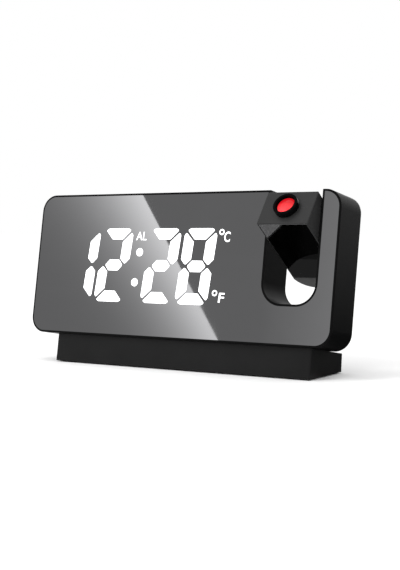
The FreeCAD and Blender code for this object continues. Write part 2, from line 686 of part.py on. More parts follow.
def arm_shell():
    outer = arm_solid(0, -ARM_Y, ARM_Y, ARM_LENS_END, ARM_EDGE)
    hollow = arm_solid(ARM_WALL, ARM_FRONT_WALL - ARM_Y, ARM_Y - ARM_WALL, INNER_TOP)
    foot = ARM_FRONT_WALL - ARM_Y - JOIN
    bosses = [rod(ARM_BOSS, (x, foot, z), (0, 1, 0), ARM_Y - ARM_WALL + JOIN - foot) for x, z in ARM_BOSSES]
    shell = fused([outer.cut(hollow)] + bosses).cut(tip_bevel())
    holes = [rod(BARREL + SEAT_CLEAR, (0, 0, INNER_TOP - 1), (0, 0, 1), 4),
             rod(BUSH_RADIUS, (-2 * ARM_HALF, 0, 0), (1, 0, 0), 4 * ARM_HALF)]
    holes += [rod(ARM_SHANK + SCREW_CLEAR, (x, -5, z), (0, 1, 0), 20) for x, z in ARM_BOSSES]
    holes += [rod(ARM_HEAD + SEAT_CLEAR, (x, ARM_Y - ARM_HEAD_SINK, z), (0, 1, 0), 4) for x, z in ARM_BOSSES]
    return without(shell, holes)


def arm_face_plate(clear=0.0):
    half = ARM_HALF - FACE_PLATE_INSET + clear
    return box(-half, half, -ARM_Y, FACE_PLATE - ARM_Y, FACE_PLATE_TOP - FACE_PLATE_LENGTH - clear,
               FACE_PLATE_TOP + clear)


def arm_screws():
    screws = []
    for x, z in ARM_BOSSES:
        screws.append(fused([rod(ARM_SHANK, (x, -4.5, z), (0, 1, 0), ARM_Y + 3.5),
                             rod(ARM_HEAD, (x, ARM_Y - ARM_HEAD_SINK, z), (0, 1, 0), ARM_HEAD_DEPTH)]))
    return group(screws)


def lens_barrel():
    body = rod(BARREL + BARREL_WALL, (0, 0, BARREL_LOW), (0, 0, 1), INNER_TOP - BARREL_LOW)
    bores = [rod(BARREL, (0, 0, BARREL_STEP), (0, 0, 1), 20),
             rod(SLIDE_SEAT_RADIUS, (0, 0, SLIDE_SEAT), (0, 0, 1), 4),
             rod(CONDENSER_RADIUS + CONDENSER_CLEAR, (0, 0, 0), (0, 0, 1), 12)]
    return without(body, bores)


def focus_ring():
    z0 = ARM_LENS_END + SEAT_CLEAR
    ring = rod(RING_RADIUS, (0, 0, z0), (0, 0, 1), RING_HEIGHT)
    rims = [e for e in ring.Edges if e.BoundBox.ZMin > z0 + RING_HEIGHT - 0.01]
    ring = ring.makeFillet(RING_ROUND, rims)
    sleeve = rod(RING_BORE + SLEEVE_WALL, (0, 0, SLEEVE_LOW), (0, 0, 1), z0 - SLEEVE_LOW + 0.5)
    return fused([ring, sleeve]).cut(rod(RING_BORE, (0, 0, 0), (0, 0, 1), 40))


LENS_FRONT = ARM_LENS_END + RING_HEIGHT - LENS_SINK


def lens_cell():
    cell = rod(RING_BORE - CELL_FIT, (0, 0, LENS_FRONT - CELL_LENGTH), (0, 0, 1), CELL_LENGTH)
    return without(cell, [rod(LENS_RADIUS, (0, 0, LENS_FRONT - LENS_EDGE), (0, 0, 1), 4),
                          rod(LENS_RADIUS - CELL_LIP, (0, 0, 0), (0, 0, 1), 30)])


def projection_lens():
    sphere_radius = (LENS_RADIUS ** 2 + LENS_DOME ** 2) / (2 * LENS_DOME)
    body = rod(LENS_RADIUS, (0, 0, LENS_FRONT - LENS_EDGE), (0, 0, 1), LENS_EDGE + LENS_DOME)
    ball = Part.makeSphere(sphere_radius, Vector(0, 0, LENS_FRONT + LENS_DOME - sphere_radius))
    return body.common(ball)


def bush(side):
    start = ARM_HALF - BUSH_GRIP
    reach = SLOT_WIDTH / 2 + WALL + 1.8
    flange = tube(BUSH_RADIUS + BUSH_FLANGE, BUSH_BORE, (start, 0, 0), (1, 0, 0), BUSH_GRIP - ARM_WALL)
    body = fused([tube(BUSH_RADIUS, BUSH_BORE, (start, 0, 0), (1, 0, 0), reach - start), flange])
    return body if side > 0 else body.mirror(Vector(0, 0, 0), Vector(1, 0, 0))


def both_sides(inner, outer, start, thickness):
    right = tube(outer, inner, (start, 0, 0), (1, 0, 0), thickness)
    return group([right, right.mirror(Vector(0, 0, 0), Vector(1, 0, 0))])


# Base

def offset_inside(points, wall):
    lines = []
    for i in range(len(points)):
        y0, z0 = points[i]
        y1, z1 = points[(i + 1) % len(points)]
        length = math.hypot(y1 - y0, z1 - z0)
        ny = (z1 - z0) / length
        nz = -(y1 - y0) / length
        lines.append((y0 + ny * wall, z0 + nz * wall, y1 - y0, z1 - z0))
    inside = []
    for i in range(len(lines)):
        ay, az, au, av = lines[i - 1]
        by, bz, bu, bv = lines[i]
        t = ((by - ay) * bv - (bz - az) * bu) / (au * bv - av * bu)
        inside.append((ay + t * au, az + t * av))
    return inside


FRONT_SLOPE = math.tan(math.radians(BASE_FRONT_TILT))
REAR_SLOPE = math.tan(math.radians(BASE_REAR_TILT))
TOP_SLOPE = math.tan(math.radians(LEAN))
SLAB_Y = FRONT_SLOPE * FRONT_EDGE_HEIGHT - OVERHANG


def top_height(y):
    return FRONT_EDGE_HEIGHT - TOP_SLOPE * (y - SLAB_Y)


def base_profile():
    front_z = (FRONT_EDGE_HEIGHT + TOP_SLOPE * SLAB_Y) / (1 + TOP_SLOPE * FRONT_SLOPE)
    rear_z = top_height(BASE_DEPTH) / (1 + TOP_SLOPE * REAR_SLOPE)
    return [(0, 0), (FRONT_SLOPE * front_z, front_z),
            (BASE_DEPTH + REAR_SLOPE * rear_z, rear_z), (BASE_DEPTH, 0)]


BASE_LEFT = BASE_X - BASE_WIDTH / 2
BASE_RIGHT = BASE_X + BASE_WIDTH / 2
PLATE_SCREWS = [(BASE_X + x, BASE_DEPTH / 2) for x in (-PLATE_SCREW_SPREAD, PLATE_SCREW_SPREAD)]
PLATE_FRONT = BASE_WALL / math.cos(math.radians(BASE_FRONT_TILT)) + FRONT_SLOPE * BASE_PLATE + COVER_CLEAR
PLATE_REAR = BASE_DEPTH - BASE_WALL / math.cos(math.radians(BASE_REAR_TILT)) - COVER_CLEAR
PAD_REACH = PAD_RADIUS + PAD_MARGIN
PADS = [(x, y) for x in (BASE_LEFT + PAD_FROM_END, BASE_RIGHT - PAD_FROM_END)
        for y in (PLATE_FRONT + PAD_REACH, PLATE_REAR - PAD_REACH)]


def base_shell():
    solid = profile_prism(base_profile(), BASE_LEFT, BASE_RIGHT)
    uprights = [e for e in solid.Edges if e.BoundBox.XLength < 0.01 and e.BoundBox.ZLength > 3
                and e.BoundBox.ZMin < 0.01]
    solid = solid.makeFillet(BASE_EDGE, uprights)
    inner = offset_inside(base_profile(), BASE_WALL)
    low = -5.0
    inner[0] = (inner[0][0] + FRONT_SLOPE * (low - inner[0][1]), low)
    inner[3] = (inner[3][0] + REAR_SLOPE * (low - inner[3][1]), low)
    solid = solid.cut(profile_prism(inner, BASE_LEFT + BASE_WALL, BASE_RIGHT - BASE_WALL))
    bosses = [rod(BASE_BOSS, (x, y, BASE_PLATE), (0, 0, 1), top_height(y) - BASE_WALL - BASE_PLATE + 0.3)
              for x, y in PLATE_SCREWS]
    solid = fused([solid] + bosses)
    bore = BASE_SHANK + SCREW_CLEAR
    return without(solid, [rod(bore, (x, y, 0), (0, 0, 1), 7.5) for x, y in PLATE_SCREWS])


def base_plate():
    plate = box(BASE_LEFT + BASE_WALL + COVER_CLEAR, BASE_RIGHT - BASE_WALL - COVER_CLEAR,
                PLATE_FRONT, PLATE_REAR, 0, BASE_PLATE)
    holes = [rod(PAD_RADIUS, (x, y, -1), (0, 0, 1), 1 + PAD_THICKNESS - PAD_PROUD) for x, y in PADS]
    for x, y in PLATE_SCREWS:
        holes.append(rod(BASE_SHANK + SEAT_CLEAR, (x, y, -1), (0, 0, 1), 6))
        holes.append(rod(BASE_HEAD + SEAT_CLEAR, (x, y, -1), (0, 0, 1), 2.5))
    return without(plate, holes)


def base_plate_screws():
    reach = BASE_HEAD - 1.0
    half = 0.3
    screws = []
    for x, y in PLATE_SCREWS:
        body = fused([rod(BASE_HEAD, (x, y, 0.3), (0, 0, 1), 1.2), rod(BASE_SHANK, (x, y, 1), (0, 0, 1), 6)])
        slots = [box(x - reach, x + reach, y - half, y + half, 0, 0.9),
                 box(x - half, x + half, y - reach, y + reach, 0, 0.9)]
        screws.append(without(body, slots))
    return group(screws)


def foot_pads():
    return group([rod(PAD_RADIUS, (x, y, -PAD_PROUD), (0, 0, 1), PAD_THICKNESS) for x, y in PADS])


def base_weight():
    return box(BASE_X - WEIGHT_HALF_LENGTH, BASE_X + WEIGHT_HALF_LENGTH, PLATE_FRONT + WEIGHT_MARGIN,
               PLATE_REAR - WEIGHT_MARGIN, BASE_PLATE, BASE_PLATE + WEIGHT_THICKNESS)


def body_screws():
    head = 1.6
    screws = []
    for x in BASE_SCREW_X:
        screws.append(fused([rod(BASE_HEAD, (x, PIVOT_DEPTH, -BASE_WALL - head), (0, 0, 1), head),
                             rod(BASE_SHANK, (x, PIVOT_DEPTH, -BASE_WALL - 0.5), (0, 0, 1),
                                 BASE_WALL + BASE_BOSS_HEIGHT)]))
    return group(screws)


# Places of the slab and of the arm

slab_place = Placement(Vector(0, SLAB_Y, FRONT_EDGE_HEIGHT), Rotation(Vector(1, 0, 0), -LEAN))
arm_place = slab_place.multiply(Placement(Vector(SLOT_X, PIVOT_DEPTH, PIVOT_HEIGHT),
                                          Rotation(Vector(1, 0, 0), REST_TURN)))


def on_slab(name, shape):
    shape.Placement = slab_place.multiply(shape.Placement)
    parts[name] = shape


def on_arm(name, shape):
    shape.Placement = arm_place.multiply(shape.Placement)
    parts[name] = shape


on_slab("main_housing", main_housing())
on_slab("mirror_panel", mirror_panel())
on_slab("light_box", light_box())
on_slab("segment_diffusers", segment_diffusers())
on_slab("led_board", led_board())
on_slab("display_leds", display_leds())
LED_SCREW_BACK = BOARD_FRONT + BOARD + HEAD_DEPTH
led_board_screws = [cross_screw(x, z, LED_SCREW_BACK, BOARD_SCREW_LENGTH) for x, z in LED_SCREWS]
on_slab("led_board_screws", group(led_board_screws))
on_slab("rear_cover", rear_cover())
cover_screws = [cross_screw(x, z, BODY_DEPTH, COVER_SCREW_LENGTH) for x, z in COVER_SCREWS]
on_slab("rear_cover_screws", group(cover_screws))
on_slab("main_board", main_board())
main_screws = [front_screw(x, z, MAIN_BOARD_FRONT, BOARD_SCREW_LENGTH) for x, z in MAIN_SCREWS]
on_slab("main_board_screws", group(main_screws))
on_slab("board_components", board_components())
on_slab("temperature_sensor", temperature_sensor())
on_slab("tact_switches", tact_switches())
on_slab("usb_socket", usb_socket())
on_slab("power_socket", power_socket())
on_slab("buzzer", buzzer())
on_slab("battery_holder", battery_holder())
on_slab("coin_cell", coin_cell())
on_slab("battery_contact", battery_contact())
on_slab("battery_cap", battery_cap())
for name, (x, z) in zip(BUTTON_NAMES, BUTTONS):
    on_slab(name, button(x, z))
on_slab("snooze_bar", snooze_bar())
on_slab("snooze_board", snooze_board())
on_slab("snooze_switches", snooze_switches())
on_slab("body_screws", body_screws())

shell = arm_shell().cut(arm_face_plate(RUNNING_CLEAR))
far = 4 * ARM_END
on_arm("arm_front_shell", shell.common(box(-far, far, -far, 0, -far, far)))
on_arm("arm_rear_shell", shell.common(box(-far, far, 0, far, -far, far)))
on_arm("arm_face_plate", arm_face_plate())
on_arm("arm_screws", arm_screws())
on_arm("lens_barrel", lens_barrel())
on_arm("focus_ring", focus_ring())
on_arm("lens_cell", lens_cell())
on_arm("projection_lens", projection_lens())
half = SLIDE_HALF
on_arm("time_slide", box(-half, half, -half, half, SLIDE_SEAT, SLIDE_SEAT + SLIDE_THICKNESS))
on_arm("condenser_lens", rod(CONDENSER_RADIUS, (0, 0, CONDENSER_LOW), (0, 0, 1), SLIDE_SEAT - CONDENSER_LOW))
half = LAMP_BOARD_HALF
on_arm("projector_lamp_board", box(-half, half, -half, half, BARREL_LOW - BOARD, BARREL_LOW))
on_arm("projector_lamp", fused([rod(LAMP_BASE_RADIUS, (0, 0, BARREL_LOW), (0, 0, 1), LAMP_BASE_HEIGHT),
                                rod(LAMP_RADIUS, (0, 0, BARREL_LOW + 0.5), (0, 0, 1), LAMP_HEIGHT - 0.5)]))
on_arm("pivot_bush_left", bush(-1))
on_arm("pivot_bush_right", bush(1))
WASHER_START = SLOT_WIDTH / 2 + WALL + SEAT_CLEAR
CLIP_START = WASHER_START + WASHER_THICKNESS
washers = both_sides(BUSH_RADIUS, BUSH_RADIUS + WASHER_WIDTH, WASHER_START, WASHER_THICKNESS)
clips = both_sides(BUSH_RADIUS, BUSH_RADIUS + CLIP_WIDTH, CLIP_START, WASHER_THICKNESS)
on_arm("friction_washers", washers)
on_arm("retaining_clips", clips)

base = base_shell()
for x in BASE_SCREW_X:
    hole = rod(BASE_SHANK + SEAT_CLEAR, (x, PIVOT_DEPTH, -6), (0, 0, 1), 12)
    hole.Placement = slab_place
    base = base.cut(hole)
parts["base_shell"] = base
parts["base_plate"] = base_plate()
parts["base_plate_screws"] = base_plate_screws()
parts["foot_pads"] = foot_pads()
parts["base_weight"] = base_weight()

# The origin is the middle of the whole clock's footprint, on the surface it stands on.
whole = Part.makeCompound(list(parts.values())).optimalBoundingBox(False)
shift = Vector(-whole.Center.x, -whole.Center.y, -whole.ZMin)
os.makedirs("parts", exist_ok=True)
for name, shape in parts.items():
    shape = shape.copy()
    shape.translate(shift)
    if not shape.isValid():
        print("not valid:", name)
    shape.exportStep("parts/%s.step" % name)


# Joint places, in millimetres
def place_of(place, x, y, z):
    point = place.multVec(Vector(x, y, z)) + shift
    return "%.4f %.4f %.4f" % (point.x, point.y, point.z)


def direction_of(place, x, y, z):
    point = place.Rotation.multVec(Vector(x, y, z))
    return "%.6f %.6f %.6f" % (point.x, point.y, point.z)


print("size", whole.XLength, whole.YLength, whole.ZLength, "shift", shift)
print("arm pivot", place_of(arm_place, 0, 0, 0))
print("lens axis at", place_of(arm_place, 0, 0, ARM_LENS_END))
print("lens axis along", direction_of(arm_place, 0, 0, 1))
print("slab back direction", direction_of(slab_place, 0, 1, 0), "slab up", direction_of(slab_place, 0, 0, 1))
print("battery cap", place_of(slab_place, CAP[0], BODY_DEPTH, CAP[1]))
print("pad", PADS[0][0] + shift.x, PADS[0][1] + shift.y)
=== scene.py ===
"""Looks of a projection alarm clock.

Moulded plastics, tinted mirrors, lit digits, a red lens and a studio stage.
"""

import json
import math

import bmesh
import bpy
from bpy.props import (
    FloatProperty,
    FloatVectorProperty,
    IntProperty,
    PointerProperty,
    StringProperty,
)
from mathutils import Matrix, Vector


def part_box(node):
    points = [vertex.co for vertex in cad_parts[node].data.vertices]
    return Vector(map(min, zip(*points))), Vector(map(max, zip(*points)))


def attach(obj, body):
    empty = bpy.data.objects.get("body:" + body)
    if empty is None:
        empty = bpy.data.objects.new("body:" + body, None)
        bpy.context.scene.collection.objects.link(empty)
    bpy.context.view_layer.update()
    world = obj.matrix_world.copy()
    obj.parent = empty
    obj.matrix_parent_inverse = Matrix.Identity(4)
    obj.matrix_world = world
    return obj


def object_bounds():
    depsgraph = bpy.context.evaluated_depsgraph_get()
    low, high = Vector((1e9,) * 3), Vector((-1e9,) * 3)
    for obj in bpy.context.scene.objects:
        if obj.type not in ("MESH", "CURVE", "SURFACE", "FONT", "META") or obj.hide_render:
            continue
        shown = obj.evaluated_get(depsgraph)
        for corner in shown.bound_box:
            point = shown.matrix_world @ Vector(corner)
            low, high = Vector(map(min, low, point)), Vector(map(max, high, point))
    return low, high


bl_info = {
    "name": "Projection alarm clock",
    "version": (1, 0, 0),
    "blender": (4, 5, 0),
    "location": "3D View > Sidebar > Clock",
    "description": "Finishes, lit display, lens and studio stage of a projection alarm clock",
    "category": "Object",
}

MM = 0.001

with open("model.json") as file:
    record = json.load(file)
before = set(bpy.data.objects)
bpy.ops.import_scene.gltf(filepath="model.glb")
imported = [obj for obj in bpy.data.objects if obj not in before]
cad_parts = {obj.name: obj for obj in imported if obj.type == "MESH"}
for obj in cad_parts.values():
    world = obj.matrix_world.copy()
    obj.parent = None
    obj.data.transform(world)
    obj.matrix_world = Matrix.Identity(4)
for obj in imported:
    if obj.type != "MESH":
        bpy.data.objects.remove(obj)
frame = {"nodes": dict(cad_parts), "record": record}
CAD_LOW, CAD_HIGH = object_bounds()
JOINTS = {joint["name"]: joint for joint in frame["record"]["behaviour"]["joints"]}

# The display slab leans back. Points on it are given by x, by the height up its slope, which is
# called the rise, and by how far they stand out of its front plane.
LEAN = math.radians(9.7)
PANEL_INSET = 1.1 * MM
PANEL_THICKNESS = 2.0 * MM
PANEL_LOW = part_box("mirror_panel")[0]
SLAB_Y = PANEL_LOW.y - PANEL_INSET * math.sin(LEAN)
SLAB_Z = PANEL_LOW.z - PANEL_INSET * math.cos(LEAN) + PANEL_THICKNESS * math.sin(LEAN)
SLAB_OUT = Vector((0, -math.cos(LEAN), math.sin(LEAN)))
SLAB_UP = Vector((0, math.sin(LEAN), math.cos(LEAN)))

# The lens looks out along its own axis, which the focus ring turns about.
LENS_AXIS = Vector(JOINTS["focus_turn"]["axis"]).normalized()
LENS_POINT = Vector(JOINTS["focus_turn"]["pos_m"])
ACROSS = Vector((1, 0, 0))
LENS_UP = LENS_AXIS.cross(ACROSS)

# The camera of the reference view.
CAMERA_PLACE = Vector((0.34072, -0.51233, 0.07440))
CAMERA_YAW = math.radians(33.37)
CAMERA_PITCH = math.radians(-2.918)
CAMERA_ROLL = math.radians(-0.295)
CAMERA_LENS = 72.56
CAMERA_SENSOR = 36.0


def linked(name, data):
    """A new object in the scene."""
    made = bpy.data.objects.new(name, data)
    bpy.context.scene.collection.objects.link(made)
    return made


def on_slab(x, rise, out=0.0):
    """The point at x and rise, that far out of the display's front plane, in metres."""
    return Vector((x, SLAB_Y, SLAB_Z)) + SLAB_UP * rise + SLAB_OUT * out


def camera_axes():
    """The camera's right, up and forward directions."""
    forward = Vector((
        -math.sin(CAMERA_YAW) * math.cos(CAMERA_PITCH),
        math.cos(CAMERA_YAW) * math.cos(CAMERA_PITCH),
        math.sin(CAMERA_PITCH),
    ))
    level = Vector((math.cos(CAMERA_YAW), math.sin(CAMERA_YAW), 0))
    above = level.cross(forward)
    right = level * math.cos(CAMERA_ROLL) + above * math.sin(CAMERA_ROLL)
    up = above * math.cos(CAMERA_ROLL) - level * math.sin(CAMERA_ROLL)
    return right, up, forward


# Shader groups

def shader_group(name, inputs, outputs):
    """A new shader group with these float inputs and these typed outputs."""
    tree = bpy.data.node_groups.new(name, "ShaderNodeTree")
    for label, value in inputs.items():
        socket = tree.interface.new_socket(
            name=label, in_out="INPUT", socket_type="NodeSocketFloat",
        )
        socket.default_value = value
    for label, kind in outputs.items():
        tree.interface.new_socket(name=label, in_out="OUTPUT", socket_type=kind)
    return tree, tree.nodes.new("NodeGroupInput"), tree.nodes.new("NodeGroupOutput")


def add(tree, kind, links=None, **values):
    """A node of that kind and settings, with sockets set to values or linked from others."""
    node = tree.nodes.new(kind)
    for label, value in values.items():
        setattr(node, label, value)
    for label, source in (links or {}).items():
        if isinstance(source, bpy.types.NodeSocket):
            tree.links.new(source, node.inputs[label])
        else:
            node.inputs[label].default_value = source
    return node


def feed(tree, node, **sources):
    """Links sources to a node's sockets, which are named with low lines for spaces."""
    for label, source in sources.items():
        tree.links.new(source, node.inputs[label.replace("_", " ")])


def maths(tree, operation, *values, clamp=False):
    """The result of one calculation on values or sockets."""
    links = dict(enumerate(values))
    return add(tree, "ShaderNodeMath", links, operation=operation, use_clamp=clamp).outputs[0]


def ranged(tree, value, low, high, to_low=0.0, to_high=1.0):
    """A value moved from one range to another and kept inside it."""
    limits = {"From Min": low, "From Max": high, "To Min": to_low, "To Max": to_high}
    return add(tree, "ShaderNodeMapRange", {"Value": value, **limits}).outputs[0]


def between(tree, share, low, high):
    """A value between low and high, as far along as a share from 0 to 1 says."""
    return ranged(tree, share, 0.0, 1.0, low, high)


def mixed(tree, factor, first, second):
    """A colour between two colours."""
    node = add(tree, "ShaderNodeMix", {0: factor, 6: first, 7: second}, data_type="RGBA")
    return node.outputs[2]


def object_place(tree):
    """The place on the object, in metres."""
    return add(tree, "ShaderNodeTexCoord").outputs["Object"]


def noise(tree, place, scale, detail=2.0, distortion=0.0):
    """The strength of a soft noise at a place."""
    links = {"Vector": place, "Scale": scale, "Detail": detail, "Distortion": distortion}
    return add(tree, "ShaderNodeTexNoise", links).outputs["Fac"]


def vectors(tree, operation, first, second):
    """The node of one calculation on two vectors."""
    return add(tree, "ShaderNodeVectorMath", {0: first, 1: second}, operation=operation)


def build_grain():
    """Fine pebbled texture of a moulding, with slow changes of gloss over it."""
    tree, entry, leave = shader_group(
        "moulded grain",
        {"Scale": 1800.0, "Patch scale": 45.0},
        {"Height": "NodeSocketFloat", "Patch": "NodeSocketFloat"},
    )
    place, scale = object_place(tree), entry.outputs["Scale"]
    fine = noise(tree, place, scale, detail=3.0)
    cells = add(tree, "ShaderNodeTexVoronoi", {"Vector": place, "Scale": scale})
    patch = noise(tree, place, entry.outputs["Patch scale"], detail=4.0)
    height = maths(tree, "MULTIPLY_ADD", cells.outputs["Distance"], 0.6, fine)
    feed(tree, leave, Height=height, Patch=ranged(tree, patch, 0.3, 0.7))
    return tree


def build_smudges():
    """Soft marks that fingers and wiping leave on a glossy face."""
    tree, entry, leave = shader_group(
        "handling smudges",
        {"Scale": 30.0, "Streak scale": 90.0},
        {"Mask": "NodeSocketFloat"},
    )
    place = object_place(tree)
    blot = noise(tree, place, entry.outputs["Scale"], detail=5.0, distortion=0.8)
    stretch = add(tree, "ShaderNodeMapping", {"Vector": place, "Scale": (0.35, 1.0, 1.6)})
    streak = noise(tree, stretch.outputs[0], entry.outputs["Streak scale"], detail=4.0)
    blots = ranged(tree, blot, 0.48, 0.78)
    streaks = ranged(tree, streak, 0.5, 0.85)
    feed(tree, leave, Mask=maths(tree, "MULTIPLY_ADD", streaks, 0.5, blots, clamp=True))
    return tree


def build_edges():
    """Where an edge is rounded by moulding and rubbed by use."""
    tree, entry, leave = shader_group(
        "softened edges",
        {"Radius": 0.3 * MM},
        {"Rub": "NodeSocketFloat", "Normal": "NodeSocketVector"},
    )
    bevel = add(tree, "ShaderNodeBevel", {"Radius": entry.outputs["Radius"]}, samples=4)
    flat = add(tree, "ShaderNodeNewGeometry").outputs["Normal"]
    likeness = vectors(tree, "DOT_PRODUCT", bevel.outputs[0], flat).outputs["Value"]
    feed(tree, leave, Rub=ranged(tree, likeness, 0.995, 0.8), Normal=bevel.outputs[0])
    return tree


def build_brushing():
    """Fine lines of a rolled or turned metal face."""
    tree, entry, leave = shader_group(
        "brushed lines",
        {"Scale": 400.0, "Stretch": 12.0},
        {"Height": "NodeSocketFloat", "Tarnish": "NodeSocketFloat"},
    )
    place, stretch = object_place(tree), entry.outputs["Stretch"]
    along = add(tree, "ShaderNodeCombineXYZ", {"X": 1.0, "Y": stretch, "Z": stretch})
    stretched = vectors(tree, "MULTIPLY", place, along.outputs[0]).outputs[0]
    lines = noise(tree, stretched, entry.outputs["Scale"])
    stain = noise(tree, place, 120.0, detail=4.0)
    feed(tree, leave, Height=lines, Tarnish=ranged(tree, stain, 0.45, 0.75))
    return tree


def shared_group(name):
    """The shader group of that name, built at its first use."""
    builders = {
        "moulded grain": build_grain,
        "handling smudges": build_smudges,
        "softened edges": build_edges,
        "brushed lines": build_brushing,
    }
    return bpy.data.node_groups.get(name) or builders[name]()


def effect(tree, name, **values):
    """A shader group placed in a material, with its own values."""
    node = tree.nodes.new("ShaderNodeGroup")
    node.node_tree = shared_group(name)
    for label, value in values.items():
        node.inputs[label.replace("_", " ").capitalize()].default_value = value
    return node.outputs


# Materials

WHITE = (1.0, 1.0, 1.0, 1.0)
COOL_WHITE = (0.97, 0.98, 1.0, 1.0)
COPPER = (0.55, 0.5, 0.36, 1.0)
CLEAR, CLEAR_MARKED = (0.97, 0.99, 1.0, 1.0), (0.9, 0.93, 0.95, 1.0)
# Painted glow of the red lens: deep at its top and paler on its lower half, which is a painted
# highlight.
LENS_GLOW_DEEP, LENS_GLOW_PALE = (0.5, 0.004, 0.008, 1.0), (1.0, 0.075, 0.08, 1.0)

# How far a plastic's roughness differs between patches, how much finger marks add to it, and
# how fully its edges are rubbed.
PATCH_ROUGHNESS = 0.04
MARK_ROUGHNESS = 0.06
RUB_SHARE = 0.6


def new_material(name, **settings):
    """A new material, its node tree and its main shader with the settings that don't vary."""
    material = bpy.data.materials.new(name)
    material.use_nodes = True
    tree = material.node_tree
    shader = tree.nodes["Principled BSDF"]
    for label, value in settings.items():
        shader.inputs[label.replace("_", " ")].default_value = value
    return material, tree, shader


def shade(colour, factor):
    """A colour made lighter or darker, with full alpha."""
    return (*(min(1.0, part * factor) for part in colour), 1.0)


def toned(tree, share, colour, first, second):
    """A colour between two shades of one colour."""
    return mixed(tree, share, shade(colour, first), shade(colour, second))


def bumped(tree, shader, height, strength, distance, normal=None):
    """Feeds a height to the shader's normal."""
    links = {"Strength": strength, "Distance": distance, "Height": height}
    bump = add(tree, "ShaderNodeBump", links)
    if normal is not None:
        feed(tree, bump, Normal=normal)
    feed(tree, shader, Normal=bump.outputs[0])


def moulded_plastic(name, colour, roughness, level, grain=1800.0, depth=0.12):
    """Injection moulded plastic: pebbled grain, patchy gloss, finger marks and rubbed edges."""
    material, tree, shader = new_material(name, Specular_IOR_Level=level)
    surface = effect(tree, "moulded grain", scale=grain)
    marks = effect(tree, "handling smudges", scale=22.0)
    edges = effect(tree, "softened edges", radius=0.25 * MM)
    body = toned(tree, surface["Patch"], colour, 0.85, 1.2)
    rub = maths(tree, "MULTIPLY", edges["Rub"], RUB_SHARE)
    rubbed = mixed(tree, rub, body, shade(colour, 1.6))
    low, high = roughness - PATCH_ROUGHNESS, roughness + PATCH_ROUGHNESS
    clean = between(tree, surface["Patch"], low, high)
    dulled = maths(tree, "MULTIPLY_ADD", marks["Mask"], MARK_ROUGHNESS, clean)
    feed(tree, shader, Base_Color=rubbed, Roughness=dulled)
    bumped(tree, shader, surface["Height"], depth, 0.02 * MM, edges["Normal"])
    return material


def tinted_mirror(name, colour, roughness):
    """Mirror coated sheet: a dark even reflection with faint wiping marks."""
    material, tree, shader = new_material(name, Metallic=1.0)
    marks = effect(tree, "handling smudges", scale=14.0, streak_scale=60.0)
    waves = noise(tree, object_place(tree), 9.0)
    tint = toned(tree, marks["Mask"], colour, 1.0, 1.05)
    gloss = between(tree, marks["Mask"], roughness, roughness + 0.03)
    feed(tree, shader, Base_Color=tint, Roughness=gloss)
    bumped(tree, shader, waves, 0.02, 0.1 * MM)
    return material


def plated_metal(name, colour, roughness, lines=400.0):
    """Plated or rolled metal with fine lines and a little tarnish."""
    material, tree, shader = new_material(name, Metallic=1.0)
    brushed = effect(tree, "brushed lines", scale=lines)
    edges = effect(tree, "softened edges", radius=0.15 * MM)
    body = toned(tree, brushed["Tarnish"], colour, 1.0, 0.75)
    rubbed = mixed(tree, edges["Rub"], body, shade(colour, 1.3))
    gloss = between(tree, brushed["Tarnish"], roughness, roughness + 0.15)
    feed(tree, shader, Base_Color=rubbed, Roughness=gloss)
    bumped(tree, shader, brushed["Height"], 0.15, 0.01 * MM, edges["Normal"])
    return material


def circuit_board(name, colour):
    """Green board with copper tracks under the mask and glass weave in the gloss."""
    material, tree, shader = new_material(name, Coat_Weight=0.4, Coat_Roughness=0.15)
    place = object_place(tree)
    cells = add(
        tree, "ShaderNodeTexVoronoi", {"Vector": place, "Scale": 260.0, "Randomness": 0.55},
        feature="F1", distance="CHEBYCHEV",
    )
    tracks = ranged(tree, cells.outputs["Distance"], 0.42, 0.46)
    vias = ranged(tree, cells.outputs["Distance"], 0.1, 0.07)
    weave = add(tree, "ShaderNodeTexWave", {"Vector": place, "Scale": 900.0, "Distortion": 1.0})
    mask = toned(tree, tracks, colour, 0.8, 1.7)
    feed(
        tree, shader,
        Base_Color=mixed(tree, vias, mask, COPPER),
        Roughness=between(tree, weave.outputs["Fac"], 0.3, 0.42),
    )
    bumped(tree, shader, tracks, 0.3, 0.03 * MM)
    return material


def moulded_rubber(name, colour):
    """Matt rubber with a dusty bloom."""
    material, tree, shader = new_material(name, Specular_IOR_Level=0.25)
    surface = effect(tree, "moulded grain", scale=2600.0, patch_scale=160.0)
    feed(
        tree, shader,
        Base_Color=toned(tree, surface["Patch"], colour, 0.8, 1.7),
        Roughness=between(tree, surface["Patch"], 0.7, 0.9),
    )
    bumped(tree, shader, surface["Height"], 0.25, 0.03 * MM)
    return material


def milky_plastic(name, colour, glow=0.0):
    """White translucent plastic that scatters the light behind it."""
    material, tree, shader = new_material(
        name,
        Subsurface_Weight=0.3,
        Subsurface_Radius=(2 * MM, 2 * MM, 2 * MM),
        Emission_Color=WHITE,
        Emission_Strength=glow,
    )
    surface = effect(tree, "moulded grain", scale=1200.0, patch_scale=200.0)
    feed(
        tree, shader,
        Base_Color=toned(tree, surface["Patch"], colour, 0.94, 1.0),
        Roughness=between(tree, surface["Patch"], 0.35, 0.5),
    )
    bumped(tree, shader, surface["Height"], 0.08, 0.02 * MM)
    return material


def clear_lens(name):
    """Clear optical plastic with a faint cast."""
    material, tree, shader = new_material(name, Transmission_Weight=1.0, IOR=1.49)
    marks = effect(tree, "handling smudges", scale=120.0, streak_scale=400.0)
    tint = mixed(tree, marks["Mask"], CLEAR, CLEAR_MARKED)
    feed(tree, shader, Base_Color=tint, Roughness=between(tree, marks["Mask"], 0.02, 0.08))
    return material


